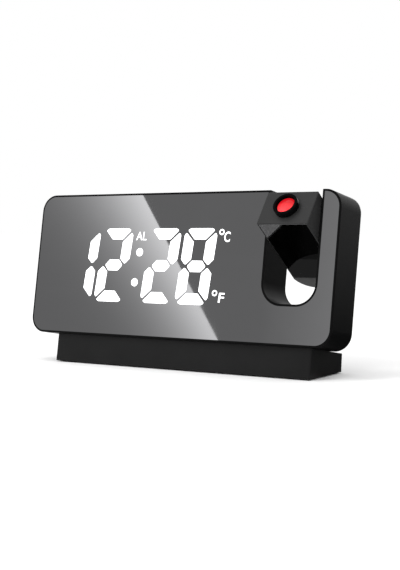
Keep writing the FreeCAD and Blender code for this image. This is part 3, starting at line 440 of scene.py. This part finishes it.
def red_lens(name, colour, glow):
    """Red coated lens with a painted glow: deep red, with a painted highlight that makes its lower
    half paler where it catches the light.
    """
    material, tree, shader = new_material(
        name,
        Specular_IOR_Level=0.15,
        Coat_Weight=0.05,
        Coat_Roughness=0.04,
        Emission_Strength=glow,
    )
    place = object_place(tree)
    height = vectors(tree, "DOT_PRODUCT", place, tuple(LENS_UP)).outputs["Value"]
    centre = LENS_POINT.dot(LENS_UP)
    # Painted highlight: the lens's lower half is painted paler in colour and glow, as if it caught
    # the light.
    low = ranged(tree, height, centre + 1.5 * MM, centre - 3.5 * MM)
    cloud = noise(tree, place, 420.0)
    painted_highlight_share = maths(tree, "MULTIPLY", low, ranged(tree, cloud, 0.3, 0.65, 0.55, 1.0))
    feed(
        tree, shader,
        Base_Color=toned(tree, painted_highlight_share, colour, 1.0, 3.5),
        Emission_Color=mixed(tree, painted_highlight_share, LENS_GLOW_DEEP, LENS_GLOW_PALE),
        Roughness=ranged(tree, cloud, 0.3, 0.7, 0.1, 0.2),
    )
    return material


def lit_white(name, strength):
    """Light of the digits, even in the middle and a touch softer in patches."""
    material, tree, shader = new_material(name, Roughness=0.4, Emission_Strength=strength)
    patch = noise(tree, object_place(tree), 160.0)
    glow = mixed(tree, patch, COOL_WHITE, WHITE)
    feed(tree, shader, Emission_Color=glow, Base_Color=glow)
    return material


def dress(material, slot):
    """Gives a material to every CAD node of that slot."""
    for entry in frame["record"]["subparts"]:
        if entry["material_slot"] == slot:
            for place in frame["nodes"][entry["node"]].material_slots:
                place.material = material


# Meshes

def finished(name, mesh, material, body):
    """A piece of the object, with its material, the body it rides on and the finish it takes."""
    mesh.materials.clear()
    mesh.materials.append(material)
    piece = linked(name, mesh)
    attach(piece, body)


def evaluated_mesh(source):
    """The plain mesh that an object shows. The object is removed."""
    shown = source.evaluated_get(bpy.context.evaluated_depsgraph_get())
    made = bpy.data.meshes.new_from_object(shown)
    bpy.data.objects.remove(source)
    return made


# The share of a side that the arc of one corner may take.
ARC_SHARE = 0.45


def rounded_corners(points, radius, steps=5):
    """A closed outline with each corner rounded to that radius, or less beside a short side."""
    outline = []
    count = len(points)
    for index, point in enumerate(points):
        corner = Vector(point)
        before = Vector(points[index - 1]) - corner
        after = Vector(points[(index + 1) % count]) - corner
        half = before.angle(after) / 2
        room = min(before.length * ARC_SHARE, after.length * ARC_SHARE)
        reach = min(radius / math.tan(half), room)
        fitted = reach * math.tan(half)
        before.normalize()
        after.normalize()
        centre = corner + (before + after).normalized() * (fitted / math.sin(half))
        start = corner + before * reach - centre
        end = corner + after * reach - centre
        turn = start.angle_signed(end)
        for step in range(steps + 1):
            spot = start.copy()
            spot.rotate(Matrix.Rotation(-turn * step / steps, 2))
            outline.append(centre + spot)
    return outline


def add_plate(mesh, outline, front, back):
    """Adds a thin closed plate on the display's face, with its outline in x and rise."""
    near = [mesh.verts.new(on_slab(x, rise, front)) for x, rise in outline]
    far = [mesh.verts.new(on_slab(x, rise, back)) for x, rise in outline]
    mesh.faces.new(near)
    mesh.faces.new(far[::-1])
    for index in range(len(outline)):
        following = (index + 1) % len(outline)
        mesh.faces.new((near[index], far[index], far[following], near[following]))


def mesh_from(name, fill, look):
    """A mesh that a function fills after the settings, with its faces pointing outwards."""
    mesh = bmesh.new()
    fill(mesh, look)
    bmesh.ops.recalc_face_normals(mesh, faces=mesh.faces)
    made = bpy.data.meshes.new(name)
    mesh.to_mesh(made)
    mesh.free()
    return made


# Lit display

# How far the lit plates stand out of the display's front plane, at their front and their back.
LIT_FRONT = 0.06 * MM
LIT_BACK = 0.01 * MM
SEGMENTS_LIT = {
    "1": ("upper_right", "lower_right"),
    "2": ("top", "upper_right", "middle", "lower_left", "bottom"),
    "8": ("top", "upper_right", "upper_left", "middle", "lower_left", "lower_right", "bottom"),
}
DIGIT_CENTRES = (-61.8 * MM, -39.7 * MM, -8.6 * MM, 13.7 * MM)

# Centres in x and rise, then each mark with its lowest and highest corner and its weight.
COLON_CENTRES = ((-23.1 * MM, 45.5 * MM), (-24.7 * MM, 29.3 * MM))
DEGREE_CENTRES = ((27.7 * MM, 56.3 * MM), (26.4 * MM, 24.9 * MM))
MARKS = (
    ("AL", (-26.2 * MM, 52.0 * MM), (-19.4 * MM, 56.5 * MM), 0.0),
    ("C", (29.4 * MM, 51.2 * MM), (33.0 * MM, 56.5 * MM), 0.012),
    ("F", (28.8 * MM, 20.1 * MM), (32.5 * MM, 25.1 * MM), 0.012),
)
DEGREE_OUTER = 1.55 * MM
DEGREE_INNER = 0.9 * MM


def segment_outlines(look):
    """The seven segments of an upright digit, as outlines in x and rise from its middle."""
    half = look.digit_width / 2
    tall = look.digit_height / 2
    wide = look.segment_width
    gap = look.segment_gap / 2
    bar = look.bar_width
    tip = bar / 2
    cut = look.corner_cut
    end = half - cut / 2 - gap
    inner = half - wide
    top = [
        (-end, tall - cut / 2), (-end + cut, tall), (end - cut, tall), (end, tall - cut / 2),
        (inner - gap / 2, tall - bar), (gap / 2 - inner, tall - bar),
    ]
    middle = [
        (-half + tip + 2 * gap, 0), (-inner + gap, tip), (inner - gap, tip),
        (half - tip - 2 * gap, 0), (inner - gap, -tip), (-inner + gap, -tip),
    ]
    side = [
        (half, tall - 2 * cut), (half - cut / 2, tall - cut / 2 - 2 * gap),
        (inner, tall - bar - 2 * gap), (inner, tip + gap), (half - tip, gap), (half, tip + gap),
    ]
    return {
        "top": top,
        "middle": middle,
        "bottom": [(x, -rise) for x, rise in top],
        "upper_right": side,
        "upper_left": [(-x, rise) for x, rise in side],
        "lower_right": [(x, -rise) for x, rise in side],
        "lower_left": [(-x, -rise) for x, rise in side],
    }


def slanted(x, rise, centre, look):
    """x and rise on the display of a point given from the middle of an upright digit."""
    return centre + x + look.digit_slant * rise, look.digit_middle + rise


def fill_digits(mesh, look):
    """Every lit segment of the time."""
    outlines = segment_outlines(look)
    for centre, digit in zip(DIGIT_CENTRES, look.time_shown):
        for name in SEGMENTS_LIT[digit]:
            points = [slanted(x, rise, centre, look) for x, rise in outlines[name]]
            outline = rounded_corners(points, look.segment_rounding)
            add_plate(mesh, outline, LIT_FRONT, LIT_BACK)


def round_outline(x, rise, radius, steps=32):
    """A circle on the display's face."""
    turns = [2 * math.pi * step / steps for step in range(steps)]
    return [(x + radius * math.cos(turn), rise + radius * math.sin(turn)) for turn in turns]


def fill_colon(mesh, look):
    """The two dots between hours and minutes."""
    for x, rise in COLON_CENTRES:
        add_plate(mesh, round_outline(x, rise, look.dot_radius), LIT_FRONT, LIT_BACK)


def flat_letters(text, weight, slant):
    """The faces of a text as a flat mesh."""
    curve = bpy.data.curves.new("letters", "FONT")
    curve.body = text
    curve.offset = weight
    curve.shear = slant
    curve.resolution_u = 6
    return evaluated_mesh(linked("letters", curve))


def fitted_to(values, low, high):
    """A function that moves the range of these values onto the range from low to high."""
    start, span = min(values), max(values) - min(values)
    return lambda value: low + (value - start) / span * (high - low)


def letter_mesh(mesh, look, text, low, high, weight):
    """Letters fitted to the box from low to high on the display, as thin closed plates."""
    flat = flat_letters(text, weight, look.mark_slant)
    to_x = fitted_to([vertex.co.x for vertex in flat.vertices], low[0], high[0])
    to_rise = fitted_to([vertex.co.y for vertex in flat.vertices], low[1], high[1])
    letters = bmesh.new()
    letters.from_mesh(flat)
    bmesh.ops.remove_doubles(letters, verts=letters.verts, dist=1e-5)
    moved = {}
    for vertex in letters.verts:
        place = to_x(vertex.co.x), to_rise(vertex.co.y)
        moved[vertex] = [mesh.verts.new(on_slab(*place, out)) for out in (LIT_FRONT, LIT_BACK)]
    for face in letters.faces:
        mesh.faces.new([moved[vertex][0] for vertex in face.verts])
        mesh.faces.new([moved[vertex][1] for vertex in reversed(face.verts)])
    for edge in letters.edges:
        if edge.is_boundary:
            first, second = (moved[vertex] for vertex in edge.verts)
            mesh.faces.new((first[0], first[1], second[1], second[0]))
    letters.free()


def degree_sign(mesh, x, rise, steps=28):
    """A small flat ring."""
    loops = []
    for radius, out in (
        (DEGREE_OUTER, LIT_FRONT), (DEGREE_INNER, LIT_FRONT),
        (DEGREE_INNER, LIT_BACK), (DEGREE_OUTER, LIT_BACK),
    ):
        circle = round_outline(x, rise, radius, steps)
        loops.append([mesh.verts.new(on_slab(*spot, out)) for spot in circle])
    for index, loop in enumerate(loops):
        following = loops[(index + 1) % len(loops)]
        for step in range(steps):
            after = (step + 1) % steps
            mesh.faces.new((loop[step], loop[after], following[after], following[step]))


def fill_marks(mesh, look):
    """The alarm mark and the two temperature marks."""
    for mark in MARKS:
        letter_mesh(mesh, look, *mark)
    for x, rise in DEGREE_CENTRES:
        degree_sign(mesh, x, rise)


# Grip ribs of the focus ring

RIB_SIDES = 8


def rib_tree():
    """Geometry nodes that stand thin ribs on a circle, with their number and sizes as inputs."""
    tree = bpy.data.node_groups.new("grip ribs", "GeometryNodeTree")
    tree.is_modifier = True
    for label, direction, kind in (
        ("Geometry", "INPUT", "NodeSocketGeometry"),
        ("Count", "INPUT", "NodeSocketInt"),
        ("Ring radius", "INPUT", "NodeSocketFloat"),
        ("Rib radius", "INPUT", "NodeSocketFloat"),
        ("Rib length", "INPUT", "NodeSocketFloat"),
        ("Material", "INPUT", "NodeSocketMaterial"),
        ("Geometry", "OUTPUT", "NodeSocketGeometry"),
    ):
        tree.interface.new_socket(name=label, in_out=direction, socket_type=kind)
    entry = tree.nodes.new("NodeGroupInput").outputs
    links = {"Vertices": entry["Count"], "Radius": entry["Ring radius"]}
    circle = add(tree, "GeometryNodeMeshCircle", links)
    links = {"Vertices": RIB_SIDES, "Radius": entry["Rib radius"], "Depth": entry["Rib length"]}
    rib = add(tree, "GeometryNodeMeshCylinder", links)
    links = {"Points": circle.outputs[0], "Instance": rib.outputs["Mesh"]}
    placed = add(tree, "GeometryNodeInstanceOnPoints", links)
    real = add(tree, "GeometryNodeRealizeInstances", {0: placed.outputs[0]})
    links = {"Geometry": real.outputs[0], "Material": entry["Material"]}
    painted = add(tree, "GeometryNodeSetMaterial", links)
    feed(tree, tree.nodes.new("NodeGroupOutput"), Geometry=painted.outputs[0])
    return tree


def node_mesh(name, tree, values):
    """The plain mesh that a geometry node tree makes with these inputs."""
    holder = linked(name + "_holder", bpy.data.meshes.new(name + "_holder"))
    modifier = holder.modifiers.new("nodes", "NODES")
    modifier.node_group = tree
    for item in tree.interface.items_tree:
        if item.in_out == "INPUT" and item.name in values:
            modifier[item.identifier] = values[item.name]
    return evaluated_mesh(holder)


# Stage

# The display's slope from a little below its foot to a little above its head.
SLOPE_LOW, SLOPE_HIGH = -6 * MM, 84 * MM

# The light card is a grid that the display mirrors, in x and rise. It fades out beyond the slope.
CARD_COLUMNS, CARD_ROWS = 60, 55
CARD_LEFT = -112 * MM
CARD_LOW, CARD_HIGH = -70 * MM, 150 * MM
CARD_FADE = 60 * MM

# One point of the glare's sharp edge and the edge's change of x for each step of rise.
GLARE_X, GLARE_RISE = -24.5 * MM, 76.5 * MM
GLARE_SLOPE = -55.6 / 75.7

# The glare's width and light at the display's foot, what they gain up to its head, and how
# steeply the light falls away from the edge.
GLARE_WIDTH, GLARE_WIDENING = 0.92, 0.2
GLARE_LIGHT, GLARE_BRIGHTENING = 0.88, 0.16
GLARE_FALL = 1.2

# The ends in x of the wall that the post at the right of the slot mirrors.
POST_LOW, POST_HIGH = 55 * MM, 96 * MM

FLOOR_HALF = 8.0
FLOOR_DROP = 0.05 * MM
FLOOR_CARD_RISE = 0.3 * MM
KEY_PLACE = Vector((-0.4, -0.7, 0.75))
KEY_TARGET = Vector((0.07, 0, 0.08))
KEY_SIZE = 0.35
SUN_ANGLE = math.radians(60)


def card_point(x, rise, away):
    """The point, that far in front of the display, which the display mirrors at x and rise."""
    spot = on_slab(x, rise)
    ray = (spot - CAMERA_PLACE).normalized()
    bounced = ray - 2 * ray.dot(SLAB_OUT) * SLAB_OUT
    return spot + bounced * (away / bounced.dot(SLAB_OUT))


def glare_at(from_edge, rise, look):
    """The card's light that far left of the glare's sharp edge."""
    share = min(max(rise / SLOPE_HIGH, 0.0), 1.0)
    beyond = max(SLOPE_LOW - rise, rise - SLOPE_HIGH, 0.0) / CARD_FADE
    reach = from_edge / look.glare_width / (GLARE_WIDTH + GLARE_WIDENING * share)
    fade = math.exp(-(reach ** GLARE_FALL)) * max(1 - beyond, 0.0)
    return 1.0 + look.glare_strength * fade * (GLARE_LIGHT + GLARE_BRIGHTENING * share)


def light_card(look):
    """The soft light whose reflection is the slanted glare on the display."""
    points, glows = [], []
    for row in range(CARD_ROWS + 1):
        rise = CARD_LOW + (CARD_HIGH - CARD_LOW) * row / CARD_ROWS
        edge = GLARE_X + GLARE_SLOPE * (rise - GLARE_RISE)
        for column in range(CARD_COLUMNS + 1):
            from_edge = (edge - CARD_LEFT) * column / CARD_COLUMNS
            points.append(card_point(edge - from_edge, rise, look.card_distance))
            glows.append(glare_at(from_edge, rise, look))
    faces = []
    for row in range(CARD_ROWS):
        for column in range(CARD_COLUMNS):
            first = row * (CARD_COLUMNS + 1) + column
            above = first + CARD_COLUMNS + 1
            faces.append((first, first + 1, above + 1, above))
    stage_card("light_card", points, faces, glows)


def card_material(name):
    """Plain light, as strong as the mesh's glow says."""
    material = bpy.data.materials.new(name)
    material.use_nodes = True
    tree = material.node_tree
    tree.nodes.clear()
    glow = add(tree, "ShaderNodeAttribute", attribute_name="glow").outputs["Fac"]
    light = add(tree, "ShaderNodeEmission", {"Strength": glow})
    add(tree, "ShaderNodeOutputMaterial", {"Surface": light.outputs[0]})
    return material


def stage_card(name, points, faces, glows):
    """A stage card with its own light at each point, which only reflections show."""
    mesh = bpy.data.meshes.new(name)
    mesh.from_pydata(points, [], faces)
    mesh.attributes.new("glow", "FLOAT", "POINT").data.foreach_set("value", glows)
    mesh.materials.append(card_material(name))
    card = linked(name, mesh)
    card.visible_camera = False
    card.visible_diffuse = False
    card.visible_transmission = False
    card.visible_volume_scatter = False
    card.visible_shadow = False


def square(low, high):
    """The corners of a rectangle between two opposite corners, in turn."""
    return (low[0], low[1]), (high[0], low[1]), (high[0], high[1]), (low[0], high[1])


def floor_card(name, low, high, glow):
    """An even card that lies just over the floor, between two corners in x and y."""
    points = [(x, y, FLOOR_CARD_RISE) for x, y in square(low, high)]
    stage_card(name, points, [(0, 1, 2, 3)], (glow,) * 4)


def shade_card():
    """Painted shade: a dim card stands in for the shadowed floor behind the base, under the leaning
    display, as the arm's mirror shows it.
    """
    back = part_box("base_shell")[1].y
    floor_card("shade_card", (0.0, back + 0.2 * MM), (110 * MM, back + 16 * MM), 0.03)


def side_card(look):
    """A dark wall beside the clock, darker at its foot, that its right side mirrors."""
    wall = CAD_HIGH.x + 35 * MM
    points = [(wall, y, z) for y, z in square((-20 * MM, 0.0), (300 * MM, 160 * MM))]
    stage_card("side_card", points, [(0, 1, 2, 3)], (0.0, 0.0, look.side_light, look.side_light))
    near = CAD_HIGH.x - 20 * MM
    floor_card("side_floor_card", (near, -10 * MM), (wall, 200 * MM), 0.05)


def post_card(look):
    """A slightly brighter wall whose reflection lies on the post at the right of the slot."""
    spots = square((POST_LOW, SLOPE_LOW), (POST_HIGH, SLOPE_HIGH))
    points = [card_point(x, rise, look.card_distance) for x, rise in spots]
    stage_card("post_card", points, [(0, 1, 2, 3)], (1.0, look.post_light, look.post_light, 1.0))


def key_light(power):
    """A square soft light from the left of the camera, aimed at the arm."""
    data = bpy.data.lights.new("key light", "AREA")
    data.size = KEY_SIZE
    data.energy = power
    lamp = linked("key light", data)
    lamp.location = KEY_PLACE
    lamp.rotation_mode = "QUATERNION"
    lamp.rotation_quaternion = (KEY_TARGET - KEY_PLACE).to_track_quat("-Z", "Y")
    lamp.visible_glossy = False


def sun_light(power):
    """A wide soft light straight from above."""
    data = bpy.data.lights.new("floor light", "SUN")
    data.energy = power
    data.angle = SUN_ANGLE
    linked("floor light", data)


def show_front_only(tree, shader):
    """Lets a view from behind a sheet see through it."""
    behind = add(tree, "ShaderNodeNewGeometry").outputs["Backfacing"]
    clear = add(tree, "ShaderNodeBsdfTransparent").outputs[0]
    both = add(tree, "ShaderNodeMixShader", {0: behind, 1: shader.outputs[0], 2: clear})
    feed(tree, tree.nodes["Material Output"], Surface=both.outputs[0])


def floor_sheet(look):
    """The pale floor under the foot pads."""
    mesh = bpy.data.meshes.new("floor")
    corners = square((-FLOOR_HALF, -FLOOR_HALF), (FLOOR_HALF, FLOOR_HALF))
    mesh.from_pydata([(x, y, -FLOOR_DROP) for x, y in corners], [], [(0, 1, 2, 3)])
    material, tree, shader = new_material(
        "pale floor",
        Base_Color=(*look.floor_colour, 1.0),
        Roughness=0.7,
        Specular_IOR_Level=0.0,
    )
    show_front_only(tree, shader)
    mesh.materials.append(material)
    floor = linked("floor", mesh)


def pale_world(strength):
    """Even white surroundings."""
    world = bpy.data.worlds.new("studio")
    world.use_nodes = True
    background = world.node_tree.nodes["Background"]
    background.inputs["Color"].default_value = WHITE
    background.inputs["Strength"].default_value = strength
    bpy.context.scene.world = world


def reference_camera():
    """The camera at the reference view."""
    data = bpy.data.cameras.new("camera")
    data.lens = CAMERA_LENS
    data.sensor_width = CAMERA_SENSOR
    right, up, forward = camera_axes()
    turn = Matrix((right, up, -forward)).transposed().to_4x4()
    camera = linked("camera", data)
    camera.matrix_world = Matrix.Translation(CAMERA_PLACE) @ turn
    bpy.context.scene.camera = camera


# Settings, operators and panel

def size_property(label, text, millimetres):
    """A length setting in metres, given in millimetres."""
    return FloatProperty(
        name=label, description=text, default=millimetres * MM, unit="LENGTH", precision=5,
    )


def amount_property(label, text, amount):
    """A setting of an amount that is never below zero."""
    return FloatProperty(name=label, description=text, default=amount, min=0)


def colour_property(label, text, colour):
    """A colour setting."""
    return FloatVectorProperty(
        name=label, description=text, default=colour, subtype="COLOR", size=3, min=0, max=1,
    )


class CLOCK_PG_finish(bpy.types.PropertyGroup):
    case_colour: colour_property("Case", "Colour of the black case", (0.003, 0.003, 0.0031))
    cover_colour: colour_property("Cover", "Colour of the rear cover", (0.021, 0.021, 0.0214))
    base_colour: colour_property("Base", "Colour of the base", (0.009, 0.009, 0.0091))
    arm_colour: colour_property("Arm", "Colour of the projector arm", (0.021, 0.021, 0.0212))
    ring_colour: colour_property("Ring", "Colour of the focus ring", (0.0015, 0.0015, 0.0016))
    button_colour: colour_property("Buttons", "Colour of the rear buttons", (0.045, 0.045, 0.047))
    snooze_colour: colour_property("Snooze bar", "Colour of the snooze bar", (0.022, 0.022, 0.023))
    mirror_colour: colour_property("Mirror", "Tint of the mirrored front", (0.106, 0.106, 0.108))
    arm_mirror_colour: colour_property("Arm mirror", "Tint of the arm's plate", (0.42, 0.42, 0.424))
    board_colour: colour_property("Boards", "Colour of the circuit boards", (0.02, 0.17, 0.08))


class CLOCK_PG_display(bpy.types.PropertyGroup):
    time_shown: StringProperty(
        name="Time", description="Four digits out of 1, 2 and 8", default="1228",
    )
    digit_width: size_property("Digit width", "Width of one digit", 20.0)
    digit_height: size_property("Digit height", "Height of one digit", 39.8)
    digit_middle: size_property("Digit middle", "Height of the digits' middle up the slope", 38.4)
    digit_slant: amount_property("Slant", "Sideways lean of the digits for their height", 0.082)
    segment_width: size_property("Segment width", "Width of an upright segment", 6.2)
    bar_width: size_property("Bar width", "Height of a level segment", 5.9)
    segment_gap: size_property("Segment gap", "Gap between neighbouring segments", 1.25)
    segment_rounding: size_property("Segment rounding", "Radius of a segment's corners", 0.9)
    corner_cut: size_property("Corner cut", "How far a digit's outer corners are cut back", 1.9)
    dot_radius: size_property("Dot radius", "Radius of the colon's dots", 2.15)
    mark_slant: amount_property("Mark slant", "Sideways lean of the letters", 0.07)
    brightness: amount_property("Brightness", "Light of the lit segments", 1.0)


class CLOCK_PG_optics(bpy.types.PropertyGroup):
    lens_colour: colour_property("Lens", "Colour of the projection lens", (0.17, 0.005, 0.007))
    # The lens's glow is painted light.
    lens_glow: amount_property("Lens glow", "Light that comes out of the lens", 1.1)
    rib_count: IntProperty(
        name="Ribs", description="Grip ribs round the focus ring", default=48, min=8,
    )
    rib_radius: size_property("Rib radius", "Radius of one grip rib", 0.16)
    rib_length: size_property("Rib length", "Length of a grip rib", 2.2)
    ring_radius: size_property("Ring radius", "Radius of the circle that the ribs stand on", 6.36)


class CLOCK_PG_stage(bpy.types.PropertyGroup):
    floor_colour: colour_property("Floor", "Colour of the floor", (0.97, 0.97, 0.97))
    world_light: amount_property("Surroundings", "Light of the surroundings", 1.0)
    card_distance: size_property("Card distance", "How far the light card is in front", 600.0)
    glare_width: size_property("Glare width", "How far the glare fades from its edge", 28.0)
    glare_strength: amount_property("Glare strength", "Extra light at the glare's edge", 4.8)
    post_light: amount_property("Post light", "Light that the right end mirrors", 1.5)
    side_light: amount_property("Side light", "Light at the head of the side wall", 1.7)
    key_power: amount_property("Key light", "Power of the key light in watts", 4.0)
    sun_power: amount_property("Floor light", "Strength of the light from above", 0.35)


class CLOCK_OT_plastics(bpy.types.Operator):
    """Finishes the moulded case, cover, base, arm, buttons and ring"""
    bl_idname = "clock.plastics"
    bl_label = "Moulded plastics"

    def execute(self, context):
        look = context.scene.clock_finish
        dress(moulded_plastic("black case", look.case_colour, 0.34, 0.035), "case_plastic")
        cover = moulded_plastic("black cover", look.cover_colour, 0.48, 0.45, 900.0, 0.6)
        dress(cover, "cover_plastic")
        dress(moulded_plastic("black base", look.base_colour, 0.4, 0.09), "base_plastic")
        dress(moulded_plastic("black arm", look.arm_colour, 0.34, 0.2), "arm_plastic")
        dress(moulded_plastic("black ring", look.ring_colour, 0.22, 0.02), "ring_plastic")
        caps = moulded_plastic("button caps", look.button_colour, 0.38, 0.4, depth=0.2)
        dress(caps, "button_plastic")
        dress(moulded_plastic("snooze bar", look.snooze_colour, 0.3, 0.4), "snooze_plastic")
        dress(moulded_plastic("bushes", (0.04, 0.04, 0.044), 0.45, 0.4), "bush_plastic")
        parts = moulded_plastic("component bodies", (0.03, 0.03, 0.034), 0.5, 0.4, grain=2600.0)
        dress(parts, "component_plastic")
        return {"FINISHED"}


class CLOCK_OT_mirrors(bpy.types.Operator):
    """Finishes the mirrored front panel and the mirrored plate of the arm"""
    bl_idname = "clock.mirrors"
    bl_label = "Tinted mirrors"

    def execute(self, context):
        look = context.scene.clock_finish
        dress(tinted_mirror("display mirror", look.mirror_colour, 0.02), "mirror_sheet")
        dress(tinted_mirror("arm mirror", look.arm_mirror_colour, 0.02), "arm_mirror")
        # The reference view's mirrors show no reflection of the arm.
        for name in ("arm_front_shell", "arm_rear_shell", "arm_face_plate"):
            frame["nodes"][name].visible_glossy = False
        return {"FINISHED"}


class CLOCK_OT_display(bpy.types.Operator):
    """Lights the digits, the colon and the small marks"""
    bl_idname = "clock.display"
    bl_label = "Lit display"

    def execute(self, context):
        look = context.scene.clock_display
        light = lit_white("lit segments", look.brightness)
        for name, fill in (
            ("lit_digits", fill_digits),
            ("lit_colon", fill_colon),
            ("lit_marks", fill_marks),
        ):
            finished(name, mesh_from(name, fill, look), light, "clock_body")
        dress(milky_plastic("milky diffusers", (0.92, 0.92, 0.9)), "diffuser")
        dress(milky_plastic("white light box", (0.85, 0.85, 0.84)), "white_plastic")
        return {"FINISHED"}


class CLOCK_OT_optics(bpy.types.Operator):
    """Finishes the lens and the inner glass, and adds the grip ribs of the focus ring"""
    bl_idname = "clock.optics"
    bl_label = "Lens and focus ring"

    def execute(self, context):
        look = context.scene.clock_optics
        dress(red_lens("red lens", look.lens_colour, look.lens_glow), "red_lens")
        dress(clear_lens("clear glass"), "clear_glass")
        material = frame["nodes"]["focus_ring"].material_slots[0].material
        mesh = node_mesh("grip_ribs", rib_tree(), {
            "Count": look.rib_count,
            "Ring radius": look.ring_radius,
            "Rib radius": look.rib_radius,
            "Rib length": look.rib_length,
            "Material": material,
        })
        low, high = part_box("focus_ring")
        axes = Matrix((ACROSS, LENS_UP, LENS_AXIS)).transposed().to_4x4()
        along = ((low + high) / 2 - LENS_POINT).dot(LENS_AXIS)
        mesh.transform(Matrix.Translation(LENS_POINT + LENS_AXIS * along) @ axes)
        finished("grip_ribs", mesh, material, "focus_ring")
        return {"FINISHED"}


class CLOCK_OT_metalwork(bpy.types.Operator):
    """Finishes the screws, clips, sockets, coin cell, contact and ballast"""
    bl_idname = "clock.metalwork"
    bl_label = "Metalwork"

    def execute(self, context):
        dress(plated_metal("zinc screws", (0.62, 0.62, 0.64), 0.3), "screw_steel")
        dress(plated_metal("black screws", (0.05, 0.05, 0.055), 0.4), "screw_black")
        dress(plated_metal("nickel sockets", (0.68, 0.68, 0.7), 0.25), "socket_steel")
        dress(plated_metal("nickel cell", (0.7, 0.7, 0.71), 0.22, lines=250.0), "cell_steel")
        dress(plated_metal("brass contact", (0.75, 0.58, 0.26), 0.3), "contact_brass")
        dress(plated_metal("cast ballast", (0.16, 0.16, 0.165), 0.65, lines=150.0), "weight_iron")
        return {"FINISHED"}


class CLOCK_OT_electronics(bpy.types.Operator):
    """Finishes the circuit boards, the lamps and the rubber pieces"""
    bl_idname = "clock.electronics"
    bl_label = "Boards, lamps and rubber"

    def execute(self, context):
        dress(circuit_board("circuit boards", context.scene.clock_finish.board_colour), "board")
        dress(milky_plastic("lamp lenses", (0.95, 0.93, 0.8), 0.4), "lamp")
        dress(moulded_rubber("foot rubber", (0.03, 0.03, 0.03)), "pad_rubber")
        dress(moulded_rubber("washer rubber", (0.02, 0.02, 0.02)), "washer_rubber")
        return {"FINISHED"}


class CLOCK_OT_stage(bpy.types.Operator):
    """Sets the pale floor, the soft light, the light card and the camera"""
    bl_idname = "clock.stage"
    bl_label = "Studio stage"

    def execute(self, context):
        look = context.scene.clock_stage
        context.scene.view_settings.view_transform = "Standard"
        pale_world(look.world_light)
        floor_sheet(look)
        light_card(look)
        post_card(look)
        side_card(look)
        shade_card()
        key_light(look.key_power)
        sun_light(look.sun_power)
        reference_camera()
        return {"FINISHED"}


STEPS = (
    CLOCK_OT_stage,
    CLOCK_OT_plastics,
    CLOCK_OT_mirrors,
    CLOCK_OT_display,
    CLOCK_OT_optics,
    CLOCK_OT_metalwork,
    CLOCK_OT_electronics,
)
SETTINGS = {
    "clock_finish": CLOCK_PG_finish,
    "clock_display": CLOCK_PG_display,
    "clock_optics": CLOCK_PG_optics,
    "clock_stage": CLOCK_PG_stage,
}


class CLOCK_PT_sidebar(bpy.types.Panel):
    """Lists the clock's settings and steps"""
    bl_idname = "CLOCK_PT_sidebar"
    bl_label = "Projection alarm clock"
    bl_space_type = "VIEW_3D"
    bl_region_type = "UI"
    bl_category = "Clock"

    def draw(self, context):
        for step in STEPS:
            self.layout.operator(step.bl_idname)
        for name in SETTINGS:
            box = self.layout.box()
            group = getattr(context.scene, name)
            for setting in group.bl_rna.properties:
                if setting.identifier not in ("rna_type", "name"):
                    box.prop(group, setting.identifier)


def register():
    for group in (*SETTINGS.values(), *STEPS, CLOCK_PT_sidebar):
        bpy.utils.register_class(group)
    for name, group in SETTINGS.items():
        setattr(bpy.types.Scene, name, PointerProperty(type=group))


def unregister():
    for name in SETTINGS:
        delattr(bpy.types.Scene, name)
    for group in (CLOCK_PT_sidebar, *STEPS, *SETTINGS.values()):
        bpy.utils.unregister_class(group)


def main():
    """Makes every piece and finish."""
    register()
    for step in STEPS:
        category, name = step.bl_idname.split(".")
        getattr(getattr(bpy.ops, category), name)()


if __name__ == "__main__":
    main()
